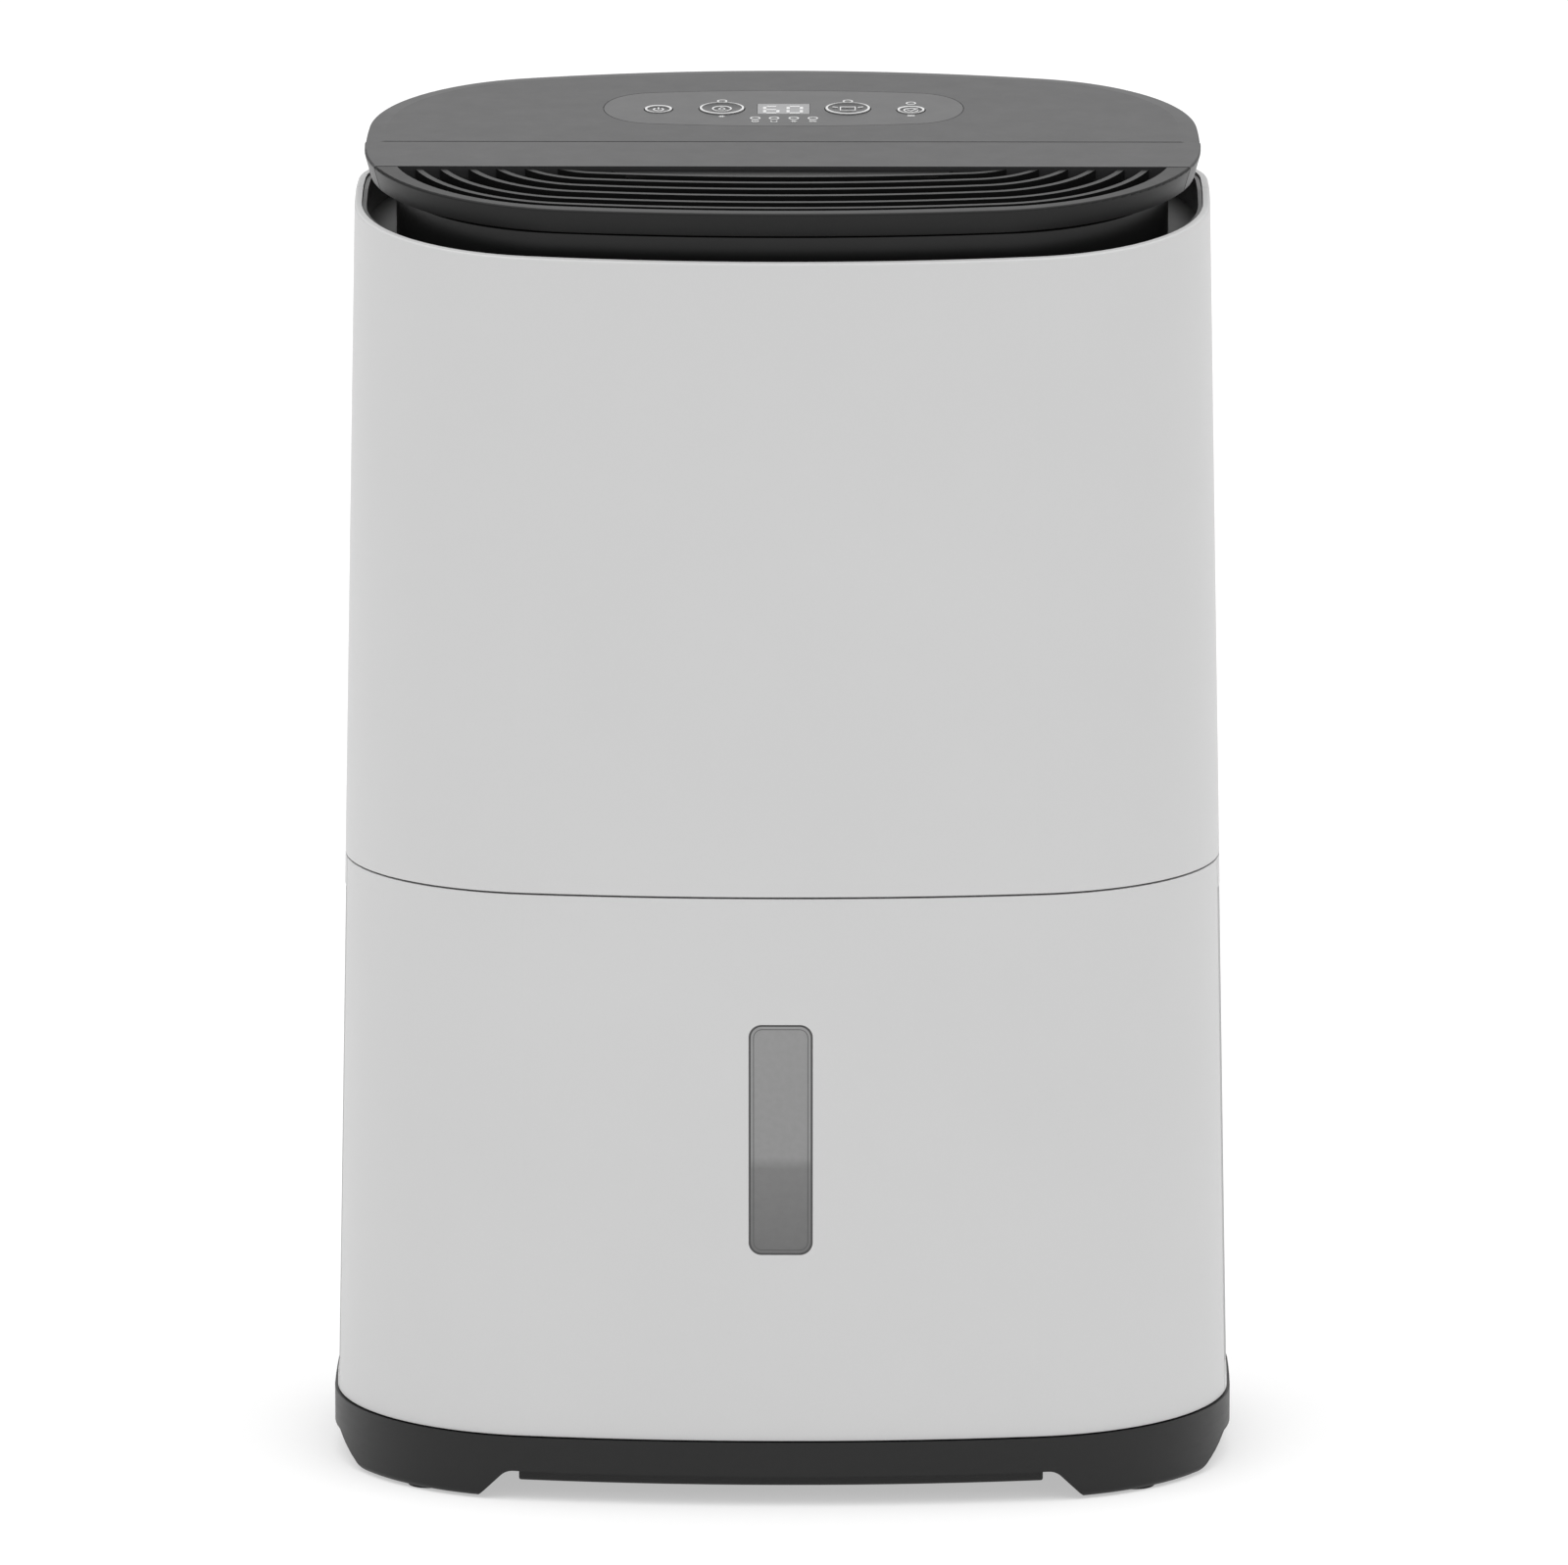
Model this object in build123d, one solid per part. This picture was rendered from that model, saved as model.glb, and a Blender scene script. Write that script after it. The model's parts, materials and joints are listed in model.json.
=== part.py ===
from build123d import *
import math
import os

# A floor-standing compressor dehumidifier. Millimetres, +Z up, +X to the right seen from the
# front, -Y towards the front. The origin is on the floor under the middle of the casing.

# Casing: an oval of three arcs a quarter, leaning inwards all round as it rises.
CASE_HALF_W = 175.5
CASE_HALF_D = 117.5
FRONT_RADIUS = 630.6
SIDE_RADIUS = 1387.3
CORNER_RADIUS = 89.5
DRAFT = 1.12
WALL = 2.8
SEAM_GAP = 0.8
RIM_ROUND = 0.9
Z_CASE = 25.5
Z_SEAM = 240.5
Z_RIM = 500.0
PANEL_EDGE_Y = -35.0

# Base tray and its four corner feet.
BASE_PROUD = 1.2
Z_SKIRT = 12.0
Z_RAIL = 6.8
Z_FOOT = 1.0
NOTCH_HALF_W = 119.0
NOTCH_HALF_D = 69.0
NOTCH_RAMP_W = 12.0
NOTCH_RAMP_D = 26.0
PAD_R = 8.0
PAD_X = 138.0
PAD_Y = 83.0

# Tank, its lid, handle, float and window.
TANK_HALF_W = 149.0
TANK_BACK_Y = 15.0
Z_TANK = 27.2
Z_TANK_TOP = 180.0
TANK_WALL = 2.4
TANK_INSET = 6.0
LID_T = 2.2
HANDLE_AXIS_Y = -48.0
HANDLE_AXIS_Z = 189.5
HANDLE_ARM = 47.0
HANDLE_BAR_R = 5.5
HANDLE_ARM_X = 134.0
WINDOW_HALF_W = 12.25
Z_WINDOW = (100.0, 190.6)
WINDOW_CORNER = 5.0
FLOAT_AXIS_Y = 5.0
FLOAT_AXIS_Z = 148.0

# Inner frame.
Z_DECK = 246.0
DECK_T = 3.0
BAY_WALL = 2.5
BAY_HALF_W = 152.5
BAY_BACK_Y = 18.5

# Top: lid, front band and outlet grille share one frame, tilted down towards the front.
Z_TOP = 517.7
TOP_TILT = 6.5
LID_HALF_W = 163.0
LID_Y = 2.0
LID_FRONT = (105.7, 640.0, 92.0)
LID_BACK = (107.6, 450.0, 77.5)
LID_SIDE_R = 420.0
LID_H = 9.4
LID_SKIN = 2.6
LID_ROUND = 0.9
LID_LEAN = 15.0
ROLL_DROP = 1.1
ROLL_WIDTH = 8.0
BAND_FRONT_Y = -35.6
TRAY_T = 1.6
SEAM_LINE = 0.8
GRILLE_OPEN_HALF_W = 151.7
GRILLE_OPEN_FRONT_Y = -98.6
GRILLE_FRONT_R = 587.0
GRILLE_SIDE_R = 1200.0
GRILLE_CORNER_R = 76.0
SLAT_INSETS = (6.2, 14.4, 24.0, 33.0, 42.0, 51.0)
SLAT_T = 2.2
SLAT_H = 13.0
SLAT_DROP = 0.9
SLAT_WIDTH_RATIO = 1.106
NECK_HALF_W = 150.0
NECK_HALF_D = 98.0
NECK_Y = -3.4
NECK_END_R = 618.0
NECK_SIDE_R = 1222.0
NECK_CORNER_R = 72.0
NECK_FLOOR = -38.0
LINER_Z = -36.0

# Controls, placed on the lid's tilted plane.
PANEL_Y = 49.0
PANEL_HALF_W = 70.5
PANEL_HALF_D = 26.0
PANEL_T = 0.8
BUTTONS = {
    "button_power": (-49.1, 47.1, 5.45),
    "button_mode": (-24.2, 48.2, 8.85),
    "button_humidity": (25.2, 48.2, 8.85),
    "button_timer": (50.0, 46.2, 5.45),
}
BUTTON_GAP = 0.35
DISPLAY_Y = 48.1
UPPER_LAMPS = ((-24.2, 59.1), (25.2, 59.1), (50.0, 56.2))
LOWER_LAMPS = ((-11.0, 34.1), (-3.6, 34.1), (4.1, 34.1), (11.6, 34.1))
LAMPS = UPPER_LAMPS + LOWER_LAMPS
LAMP_R = 1.1
DISPLAY_W = 20.4
DISPLAY_D = 14.6
BOARD_Z = -9.2

# Air path: inlet at the back, two coils, fan, outlet at the top.
INLET_HALF_W = 92.0
Z_INLET = (268.0, 452.0)
LOUVRES = 16
LOUVRE_PITCH = 10.0
FILTER_Y = (95.0, 98.0)
COIL_HALF_W = 98.0
COIL_ROWS = 8
COIL_PITCH = 22.0
Z_COIL = 278.0
COIL_TUBE_R = 4.0
COIL_END = 15.0
EVAPORATOR_Y = 84.0
CONDENSER_Y = 58.0
FIN_DEPTH = 20.0
FIN_COUNT = 22
FAN_X = 52.0
FAN_Z = 350.0
SCROLL_R = 86.0
SCROLL_Y = (-46.0, 34.0)
IMPELLER_R = 72.0
SHAFT_R = 4.0

# Refrigeration.
COMPRESSOR_X = -98.0
COMPRESSOR_Y = -22.0
COMPRESSOR_R = 48.0
Z_COMPRESSOR = (262.0, 432.0)
ACCUMULATOR = (-52.0, -68.0)

# Places on the back of the casing and inside it.
GLAND_X = -62.0
GLAND_Z = 62.0
DRAIN_X = 56.0
DRAIN_Z = 222.0
DRAIN_PIPE_Y = 84.0
SPIGOT_OUT = 2.5
SPIGOT_BORE_R = 5.5
DRIP_Y = 6.0
CAPACITOR = (-112.0, 58.0)
SCREW_HEAD_R = 3.9
GRIP_X = 145.0
GRIP_Y = (9.0, 71.0)
GRIP_Z = (398.0, 432.0)
GRIP_WALL = 2.4
GRIP_GAP = 0.15
GRIP_FLANGE = 4.0

TOP = Pos(0, 0, Z_TOP) * Rot(TOP_TILT, 0, 0)
TILT = math.radians(TOP_TILT)


# Helpers


def span(x, y, z):
    """Box between three (low, high) pairs."""
    size = [high - low for low, high in (x, y, z)]
    middle = [(high + low) / 2 for low, high in (x, y, z)]
    return Pos(*middle) * Box(*size)


def rod(x, y, z, radius, length, axis="z"):
    """Cylinder centred on a point, along one axis."""
    turn = {"x": Rot(0, 90, 0), "y": Rot(90, 0, 0), "z": Rot(0, 0, 0)}[axis]
    return Pos(x, y, z) * turn * Cylinder(radius, length)


def quarter(half_w, half_d, r_end, r_side, r_corner):
    """Where a quarter's corner arc starts, passes and stops, for x and y above 0."""
    end = Vector(0, half_d - r_end)
    side = Vector(half_w - r_side, 0)
    to_end = r_end - r_corner
    to_side = r_side - r_corner
    line = side - end
    along = (to_end**2 - to_side**2 + line.length**2) / (2 * line.length)
    across = math.sqrt(to_end**2 - along**2)
    u = line.normalized()
    corner = end + u * along + Vector(u.Y, -u.X) * across
    start = end + (corner - end).normalized() * r_end
    stop = side + (corner - side).normalized() * r_side
    passes = corner + ((start - corner) + (stop - corner)).normalized() * r_corner
    return start, passes, stop


def oval(half_w, front, back, r_side):
    """Face of tangent arcs; front and back are (half depth, end radius, corner radius)."""
    arcs = []
    stops = []
    for sign, (half_d, r_end, r_corner) in ((-1, front), (1, back)):
        start, passes, stop = quarter(half_w, half_d, r_end, r_side, r_corner)
        stops.append(stop)
        left, right = ((side * start.X, sign * start.Y) for side in (-1, 1))
        arcs.append(ThreePointArc(left, (0, sign * half_d), right))
        for side in (-1, 1):
            points = [(side * p.X, sign * p.Y) for p in (start, passes, stop)]
            arcs.append(ThreePointArc(*points))
    for side in (-1, 1):
        front_end = (side * stops[0].X, -stops[0].Y)
        back_end = (side * stops[1].X, stops[1].Y)
        arcs.append(ThreePointArc(front_end, (side * half_w, 0), back_end))
    return Face(Wire(arcs))


def even_oval(half_w, half_d, r_end, r_side, r_corner):
    """Oval whose front and back are alike."""
    half = (half_d, r_end, r_corner)
    return oval(half_w, half, half, r_side)


def case_face(inset):
    """Casing outline at its foot, moved inwards by inset."""
    radii = (FRONT_RADIUS - inset, SIDE_RADIUS - inset, CORNER_RADIUS - inset)
    return even_oval(CASE_HALF_W - inset, CASE_HALF_D - inset, *radii)


def lean_at(z):
    """How far the casing has leaned in at height z."""
    return (z - Z_CASE) * math.tan(math.radians(DRAFT))


def casing(inset, z_low, z_high):
    """Solid inside the leaning casing surface moved in by inset, between two heights."""
    face = Pos(0, 0, z_low) * case_face(inset + lean_at(z_low))
    return extrude(face, z_high - z_low, taper=DRAFT)


def case_back_y(x, z):
    """Y of the casing's back surface, good over its long back arc."""
    lean = lean_at(z)
    return math.sqrt((FRONT_RADIUS - lean) ** 2 - x**2) - FRONT_RADIUS + CASE_HALF_D


def side_profile(points, half_w):
    """Prism across the object from a closed outline of (y, z) points."""
    outline = Plane.YZ * make_face(Polyline(*points, close=True))
    return extrude(outline, half_w, both=True)


def above_rim(drop):
    """Everything above the casing's rim: level behind, falling towards the front."""
    reach = 200.0
    low = reach * math.tan(TILT)
    level = Z_RIM - drop
    points = [(-reach, level - low), (0, level), (reach, level), (reach, 700), (-reach, 700)]
    return side_profile(points, reach)


def rounded_box(half_w, y, z, corner):
    """Box with its four corners rounded, seen from the front."""
    width, height = 2 * half_w, z[1] - z[0]
    face = Plane.XZ * RectangleRounded(width, height, corner)
    return Pos(0, y[1], (z[0] + z[1]) / 2) * extrude(face, y[1] - y[0])


def pipe(points, bend, radius):
    """Round bar along straight runs joined by tangent arcs."""
    path = FilletPolyline(*points, radius=bend)
    return sweep(Plane(origin=path @ 0, z_dir=path % 0) * Circle(radius), path=path)


# Base


def skirt_face(inset):
    return case_face(inset - BASE_PROUD)


def foot_notches(margin):
    """Two crossing voids under the base that leave a foot in each corner."""

    def trapezoid(plane, half, ramp):
        low = Z_FOOT - margin
        slope = ramp / Z_SKIRT
        outline = Polyline(
            (-half - slope * -low, low),
            (-half + ramp, Z_SKIRT),
            (half - ramp, Z_SKIRT),
            (half + slope * -low, low),
            close=True,
        )
        face = fillet(make_face(outline).vertices().group_by(Axis.Y)[-1], 7)
        return extrude(plane * face, 200, both=True)

    across = trapezoid(Plane.XZ, NOTCH_HALF_W, NOTCH_RAMP_W)
    return across, trapezoid(Plane.YZ, NOTCH_HALF_D, NOTCH_RAMP_D)


def base():
    outer = Pos(0, 0, Z_FOOT) * extrude(skirt_face(0), Z_CASE - Z_FOOT)
    outer = fillet(outer.edges().group_by(Axis.Z)[0], 2.2)
    body = outer
    for notch in foot_notches(4):
        body -= notch
    body -= Pos(0, 0, Z_SKIRT + 3.2) * extrude(skirt_face(3.0), 20)
    rail = Pos(0, 0, Z_RAIL) * extrude(skirt_face(6.5), Z_SKIRT - Z_RAIL)
    rail &= span((-102, 102), (-130, -101), (0, 20))
    body += fillet(rail.edges().group_by(Axis.Z)[0], 1.2)
    for side in (-1, 1):
        body += span(sorted((side * 108, side * 112)), (-95, 14), (15.0, Z_TANK - 0.4))
        for end in (-1, 1):
            body -= rod(side * PAD_X, end * PAD_Y, Z_FOOT, PAD_R + 0.2, 4)
    return body


def foot_pads():
    pads = []
    for side in (-1, 1):
        for end in (-1, 1):
            pad = rod(side * PAD_X, end * PAD_Y, 1.5, PAD_R, 3.0)
            pads.append(fillet(pad.edges().group_by(Axis.Z)[0], 0.7))
    return pads


# Casing


def front_shell():
    shell = casing(0, Z_SEAM + SEAM_GAP / 2, Z_RIM + 10) - above_rim(0)
    rim = [e for e in shell.edges() if e.center().Z > Z_RIM - 30]
    shell = fillet(rim, RIM_ROUND)
    shell -= casing(WALL, Z_SEAM - 10, Z_RIM + 20)
    return shell & span((-200, 200), (-200, -0.2), (0, 700))


def finger_grooves():
    """Shallow hollows in the rear shell that let fingers behind the tank panel's edges."""
    y = (PANEL_EDGE_Y - 5, -6.0)
    band = casing(-5, Z_CASE + 6, Z_SEAM - 12) - casing(1.1, Z_CASE, Z_SEAM)
    return band & span((-200, 200), y, (0, 300))


def grip_box(side, wall):
    """Carrying recess in one side of the rear shell, moved out by its wall."""
    x = sorted((side * (GRIP_X - wall), side * 200))
    y = (GRIP_Y[0] - wall, GRIP_Y[1] + wall)
    z = (GRIP_Z[0] - wall, GRIP_Z[1] + wall)
    return fillet(span(x, y, z).edges().filter_by(Axis.X), 10 + wall)


def grip_cups():
    """Recess linings, each held from inside by a flange against the shell."""
    cups = []
    behind = casing(WALL + 0.03, 370, 460) - casing(WALL + 2.0, 360, 470)
    for side in (-1, 1):
        cup = grip_box(side, GRIP_WALL) & casing(0.3, 380, 450)
        cup += grip_box(side, GRIP_WALL + GRIP_FLANGE) & behind
        cups.append(cup - grip_box(side, 0))
    return cups


def screw_places():
    """Where the rear shell is screwed to the frame: x and z."""
    return [(x, z) for z in (48.0, 236.0) for x in (-80.0, 80.0)]


def rear_shell():
    shell = casing(0, Z_CASE + SEAM_GAP / 2, Z_RIM + 10) - above_rim(0)
    shell = fillet([e for e in shell.edges() if e.center().Z > Z_RIM - 30], RIM_ROUND)
    shell -= casing(WALL, 0, Z_RIM + 20)
    for side in (-1, 1):
        shell -= grip_box(side, GRIP_WALL + GRIP_GAP)
    shell -= span((-200, 200), (-200, 0.2), (Z_SEAM - SEAM_GAP / 2, 700))
    shell -= span((-200, 200), (-200, PANEL_EDGE_Y + SEAM_GAP / 2), (0, Z_SEAM))
    shell -= finger_grooves()
    shell -= rounded_box(INLET_HALF_W, (90, 130), Z_INLET, 8)
    for x, z in screw_places():
        y = case_back_y(x, z)
        shell += rod(x, y - 5.5, z, SCREW_HEAD_R + 2.2, 9, "y") & casing(0.5, 30, 250)
        shell -= rod(x, y, z, SCREW_HEAD_R + 0.4, 16, "y")
        shell -= rod(x, y - 8, z, 2.4, 10, "y")
    shell -= rod(GLAND_X, case_back_y(GLAND_X, GLAND_Z), GLAND_Z, 9.2, 20, "y")
    return shell - rod(DRAIN_X, case_back_y(DRAIN_X, DRAIN_Z), DRAIN_Z, 10.0, 20, "y")


def casing_screws():
    screws = []
    for x, z in screw_places():
        y = case_back_y(x, z)
        head = rod(x, y - 6.8, z, SCREW_HEAD_R, 2.4, "y")
        for half_w, half_h in ((2.6, 0.5), (0.5, 2.6)):
            head -= span((x - half_w, x + half_w), (y - 6.8, y), (z - half_h, z + half_h))
        screws.append(head + rod(x, y - 15, z, 2.0, 15, "y"))
    return screws


def chassis():
    """Inner frame: the tank bay's walls, the deck over it and posts for the rear shell."""
    bay_x, bay_y = BAY_HALF_W, BAY_BACK_Y
    frame = span((-bay_x, bay_x), (bay_y, bay_y + BAY_WALL), (15.3, Z_DECK))
    for side in (-1, 1):
        x = sorted((side * bay_x, side * (bay_x + BAY_WALL)))
        frame += span(x, (-32, bay_y + BAY_WALL), (15.3, Z_DECK))
    frame += casing(WALL + 0.6, Z_DECK, Z_DECK + DECK_T)
    for x, z in screw_places():
        y = case_back_y(x, z) - 10.2
        frame += rod(x, (y + bay_y) / 2, z, 5.5, y - bay_y, "y")
        frame -= rod(x, y - 8, z, 2.05, 18, "y")
    frame -= rod(0, DRIP_Y, Z_DECK, 7, 20)
    frame -= rod(DRAIN_X, DRAIN_PIPE_Y, Z_DECK, 9.5, 20)
    frame -= rod(-40, DRIP_Y, Z_DECK, 9, 20)
    return frame


# Water tank


def tank_front_panel():
    gap = 0.15
    z = (Z_WINDOW[0] - gap, Z_WINDOW[1] + gap)
    window = rounded_box(WINDOW_HALF_W + gap, (-140, -90), z, WINDOW_CORNER)
    z_low, z_high = Z_CASE + SEAM_GAP * 0.7, Z_SEAM - SEAM_GAP / 2
    panel = casing(0, z_low, z_high) - casing(WALL, 0, 300)
    panel += casing(1, z_high - WALL, z_high) - casing(15, 0, 300)
    for z in (60, 172):
        panel += casing(1, z, z + 2.5) - casing(TANK_INSET, 0, 300)
    panel &= span((-200, 200), (-200, PANEL_EDGE_Y - SEAM_GAP / 2), (0, 300))
    return panel - window


def water_window():
    lens = rounded_box(WINDOW_HALF_W, (-140, -90), Z_WINDOW, WINDOW_CORNER)
    return (casing(0.25, 50, 240) - casing(TANK_INSET - 0.4, 40, 250)) & lens


def tank_block(inset, wall, z_low, z_high):
    """Solid inside the tank's plan, moved in by wall from its outside."""
    half_w = TANK_HALF_W - wall
    block = casing(inset + wall, z_low, z_high)
    block &= span((-half_w, half_w), (-200, TANK_BACK_Y - wall), (0, 300))
    back = [e for e in block.edges().filter_by(Axis.Z) if e.center().Y > 0]
    return fillet(back, 16 - wall)


def tank_tub():
    tub = tank_block(TANK_INSET, 0, Z_TANK, Z_TANK_TOP)
    tub -= tank_block(TANK_INSET, TANK_WALL, Z_TANK + TANK_WALL, Z_TANK_TOP + 10)
    for side in (-1, 1):
        x = sorted((side * 14.6, side * 17.6))
        tub += span(x, (0.0, TANK_BACK_Y - 1), (FLOAT_AXIS_Z - 6, FLOAT_AXIS_Z + 6))
    return tub - rod(0, FLOAT_AXIS_Y, FLOAT_AXIS_Z, 1.55, 60, "x")


def tank_lid():
    top = Z_TANK_TOP + LID_T
    lid = tank_block(TANK_INSET, 0, Z_TANK_TOP, top)
    rib = tank_block(TANK_INSET, TANK_WALL + 0.4, Z_TANK_TOP - 4, Z_TANK_TOP)
    lid += rib - tank_block(TANK_INSET, TANK_WALL + 2.0, Z_TANK_TOP - 6, Z_TANK_TOP + 5)
    lid -= rod(0, DRIP_Y - 14, top, 9, 20)
    lid -= span((-128, -96), (-88, -72), (Z_TANK_TOP - 10, top + 10))
    for side in (-1, 1):
        inner = HANDLE_ARM_X + 2.3
        x = sorted((side * inner, side * (inner + 3)))
        ear = span(x, (HANDLE_AXIS_Y - 5.5, HANDLE_AXIS_Y + 5.5), (top - 1, HANDLE_AXIS_Z + 5))
        lid += fillet(ear.edges().filter_by(Axis.X).group_by(Axis.Z)[-1], 4)
        lid -= rod(side * inner, HANDLE_AXIS_Y, HANDLE_AXIS_Z, 2.55, 12, "x")
    return lid


def tank_handle():
    """Bail handle, folded back over the tank's lid."""
    end_y = HANDLE_AXIS_Y + HANDLE_ARM
    handle = rod(0, end_y, HANDLE_AXIS_Z, HANDLE_BAR_R, 2 * HANDLE_ARM_X - 10, "x")
    for side in (-1, 1):
        x = sorted((side * (HANDLE_ARM_X - 2), side * (HANDLE_ARM_X + 2)))
        arm = span(x, (HANDLE_AXIS_Y - 5, end_y + 5), (HANDLE_AXIS_Z - 5, HANDLE_AXIS_Z + 5))
        arm = fillet(arm.edges().filter_by(Axis.X), 4.6)
        handle += arm
        x = sorted((side * 125, side * (HANDLE_ARM_X - 1)))
        handle += span(x, (end_y - 4, end_y + 4), (HANDLE_AXIS_Z - 4, HANDLE_AXIS_Z + 4))
    return handle - rod(0, HANDLE_AXIS_Y, HANDLE_AXIS_Z, 2.55, 400, "x")


def handle_pins():
    centre = HANDLE_ARM_X + 1.8
    return [rod(side * centre, HANDLE_AXIS_Y, HANDLE_AXIS_Z, 2.5, 7.4, "x") for side in (-1, 1)]


def float_arm():
    y, z = FLOAT_AXIS_Y, FLOAT_AXIS_Z
    arm = rod(0, y, z, 4, 28, "x")
    for side in (-1, 1):
        arm += span(sorted((side * 9, side * 12)), (y - 26, y), (z - 3, z + 3))
    arm += span((-14, 14), (y - 28, y - 25), (z - 3, z + 3))
    return arm - rod(0, y, z, 1.55, 40, "x")


def float_block():
    y = FLOAT_AXIS_Y - 28
    block = span((-20, 20), (y - 26, y), (FLOAT_AXIS_Z - 22, FLOAT_AXIS_Z + 3))
    return fillet(block.edges(), 3)


def float_pin():
    return rod(0, FLOAT_AXIS_Y, FLOAT_AXIS_Z, 1.5, 36, "x")


# Top


def lid_face(inset):
    ends = [tuple(length - inset for length in end) for end in (LID_FRONT, LID_BACK)]
    return Pos(0, LID_Y) * oval(LID_HALF_W - inset, *ends, LID_SIDE_R - inset)


def lid_blank(inset, z_low, z_high, lean=LID_LEAN):
    """Lid-shaped block, narrower at its foot than at its top."""
    narrow = inset + (0 - z_low) * math.tan(math.radians(lean))
    return extrude(Pos(0, 0, z_low) * lid_face(narrow), z_high - z_low, taper=-lean)


def lid_outer():
    """Outside of the whole lid, flat up to its rounded top edge."""
    blank = lid_blank(0, -LID_H, 0)
    return fillet([e for e in blank.edges() if e.center().Z > -1], LID_ROUND)


def rolled_outer():
    """Outside of the rear cover, whose border falls a little towards its edge."""
    blank = lid_blank(0, -LID_H, -ROLL_DROP)
    low = Pos(0, 0, -ROLL_DROP) * lid_face(ROLL_DROP * math.tan(math.radians(LID_LEAN)))
    blank += loft([low, lid_face(ROLL_WIDTH)], ruled=True)
    edge = [e for e in blank.edges() if abs(e.center().Z + ROLL_DROP) < 0.05]
    return fillet(edge, LID_ROUND)


def lid_inside():
    return lid_blank(LID_SKIN, -LID_H - 1, -LID_SKIN)


def control_holes(grow):
    """Everything that passes through the lid's skin: buttons, lamps and the display."""
    tools = [rod(x, y, 0, r + grow, 20) for x, y, r in BUTTONS.values()]
    tools += [rod(x, y, 0, LAMP_R + 0.1, 20) for x, y in LAMPS]
    half_w, half_d = DISPLAY_W / 2 + 0.15, DISPLAY_D / 2 + 0.15
    tools.append(span((-half_w, half_w), (DISPLAY_Y - half_d, DISPLAY_Y + half_d), (-10, 10)))
    return tools


def panel_face(grow):
    return Pos(0, PANEL_Y) * even_oval(PANEL_HALF_W + grow, PANEL_HALF_D + grow, 390.0, 26.0, 20.0)


def lid_cover():
    cover = rolled_outer() - lid_inside()
    cover &= span((-200, 200), (SEAM_LINE / 2, 200), (-50, 50))
    cover -= Pos(0, 0, -PANEL_T) * extrude(panel_face(0.3), 5)
    for tool in control_holes(BUTTON_GAP):
        cover -= tool
    return cover


def lid_strip(outer):
    strip = (outer - lid_inside()) & span((-200, 200), (BAND_FRONT_Y, -SEAM_LINE / 2), (-50, 50))
    lip = lid_blank(1.0, -LID_H + 2, -1)
    return strip + (lip & span((-200, 200), (BAND_FRONT_Y, BAND_FRONT_Y + 2), (-50, 50)))


def grille_face(inset):
    """Outline of the grille's opening, or of a slat, moved in from the opening."""
    half_w = GRILLE_OPEN_HALF_W - SLAT_WIDTH_RATIO * inset
    half_d = LID_Y - GRILLE_OPEN_FRONT_Y - inset
    radii = (GRILLE_FRONT_R - inset, GRILLE_SIDE_R, GRILLE_CORNER_R - inset)
    return Pos(0, LID_Y) * even_oval(half_w, half_d, *radii)


def outlet_grille(outer):
    """Outer ring, curved slats, the rail they end on and the ribs under them, in one moulding."""
    front = span((-200, 200), (-200, BAND_FRONT_Y - SEAM_LINE), (-50, 50))
    grille = outer - Pos(0, 0, -30) * extrude(grille_face(0), 60)
    for inset in SLAT_INSETS:
        ring = grille_face(inset) - grille_face(inset + SLAT_T)
        grille += Pos(0, 0, -SLAT_DROP - SLAT_H) * extrude(ring, SLAT_H)
    grille &= front
    back = BAND_FRONT_Y - SEAM_LINE
    rail = lid_blank(1.5, -LID_H + 0.2, -4.5) & span((-200, 200), (back - 3.0, back), (-50, 50))
    grille += rail
    cross = make_face(Polyline((-66, back), (-60, back - 9), (60, back - 9), (66, back), close=True))
    grille += Pos(0, 0, -5.0) * extrude(cross, 3.4)
    for x in (-96, -48, 0, 48, 96):
        reach = -86.0 if abs(x) > 90 else -93.0
        foot = -SLAT_DROP - SLAT_H
        grille += span((x - 1, x + 1), (reach, back - 0.5), (foot - 2, foot + 3))
    return grille


def neck_face(inset):
    radii = (NECK_END_R - inset, NECK_SIDE_R - inset, NECK_CORNER_R - inset)
    return Pos(0, NECK_Y) * even_oval(NECK_HALF_W - inset, NECK_HALF_D - inset, *radii)


def duct_hole(grow):
    x = (FAN_X + 18 - grow, FAN_X + SCROLL_R - 2.2 + grow)
    return span(x, (SCROLL_Y[0] + 2.2 - grow, SCROLL_Y[1] - 2.2 + grow), (-60, -30))


def outlet_collar():
    """Neck between casing and lid, with a floor that the fan's duct opens through."""
    neck = Pos(0, 0, NECK_FLOOR) * extrude(neck_face(0), -LID_H - 0.7 - NECK_FLOOR)
    neck -= Pos(0, 0, NECK_FLOOR + 2.2) * extrude(neck_face(2.4), 60)
    neck -= span((-200, 200), (BAND_FRONT_Y, 200), (-LID_H - TRAY_T - 0.1, 0))
    return neck - duct_hole(0)


def rim_liner():
    """Black trough between the neck and the casing's rim."""
    inset = WALL + 0.3
    lip = casing(inset, 462, Z_RIM + 10) - casing(inset + 1.6, 440, Z_RIM + 30) - above_rim(1.0)
    floor = TOP * span((-220, 220), (-150, 150), (LINER_Z - 2.2, LINER_Z)) & casing(inset, 440, 540)
    floor -= TOP * (Pos(0, 0, -60) * extrude(neck_face(-0.3), 60))
    below = TOP * span((-250, 250), (-200, 200), (-120, LINER_Z - 2.2))
    return floor + (lip - below)


def control_tray():
    """Plate that closes the lid's underside behind the grille."""
    plate = lid_blank(1.0, -LID_H - TRAY_T, -LID_H)
    return plate & span((-200, 200), (BAND_FRONT_Y + 2.6, 200), (-50, 50))


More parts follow.
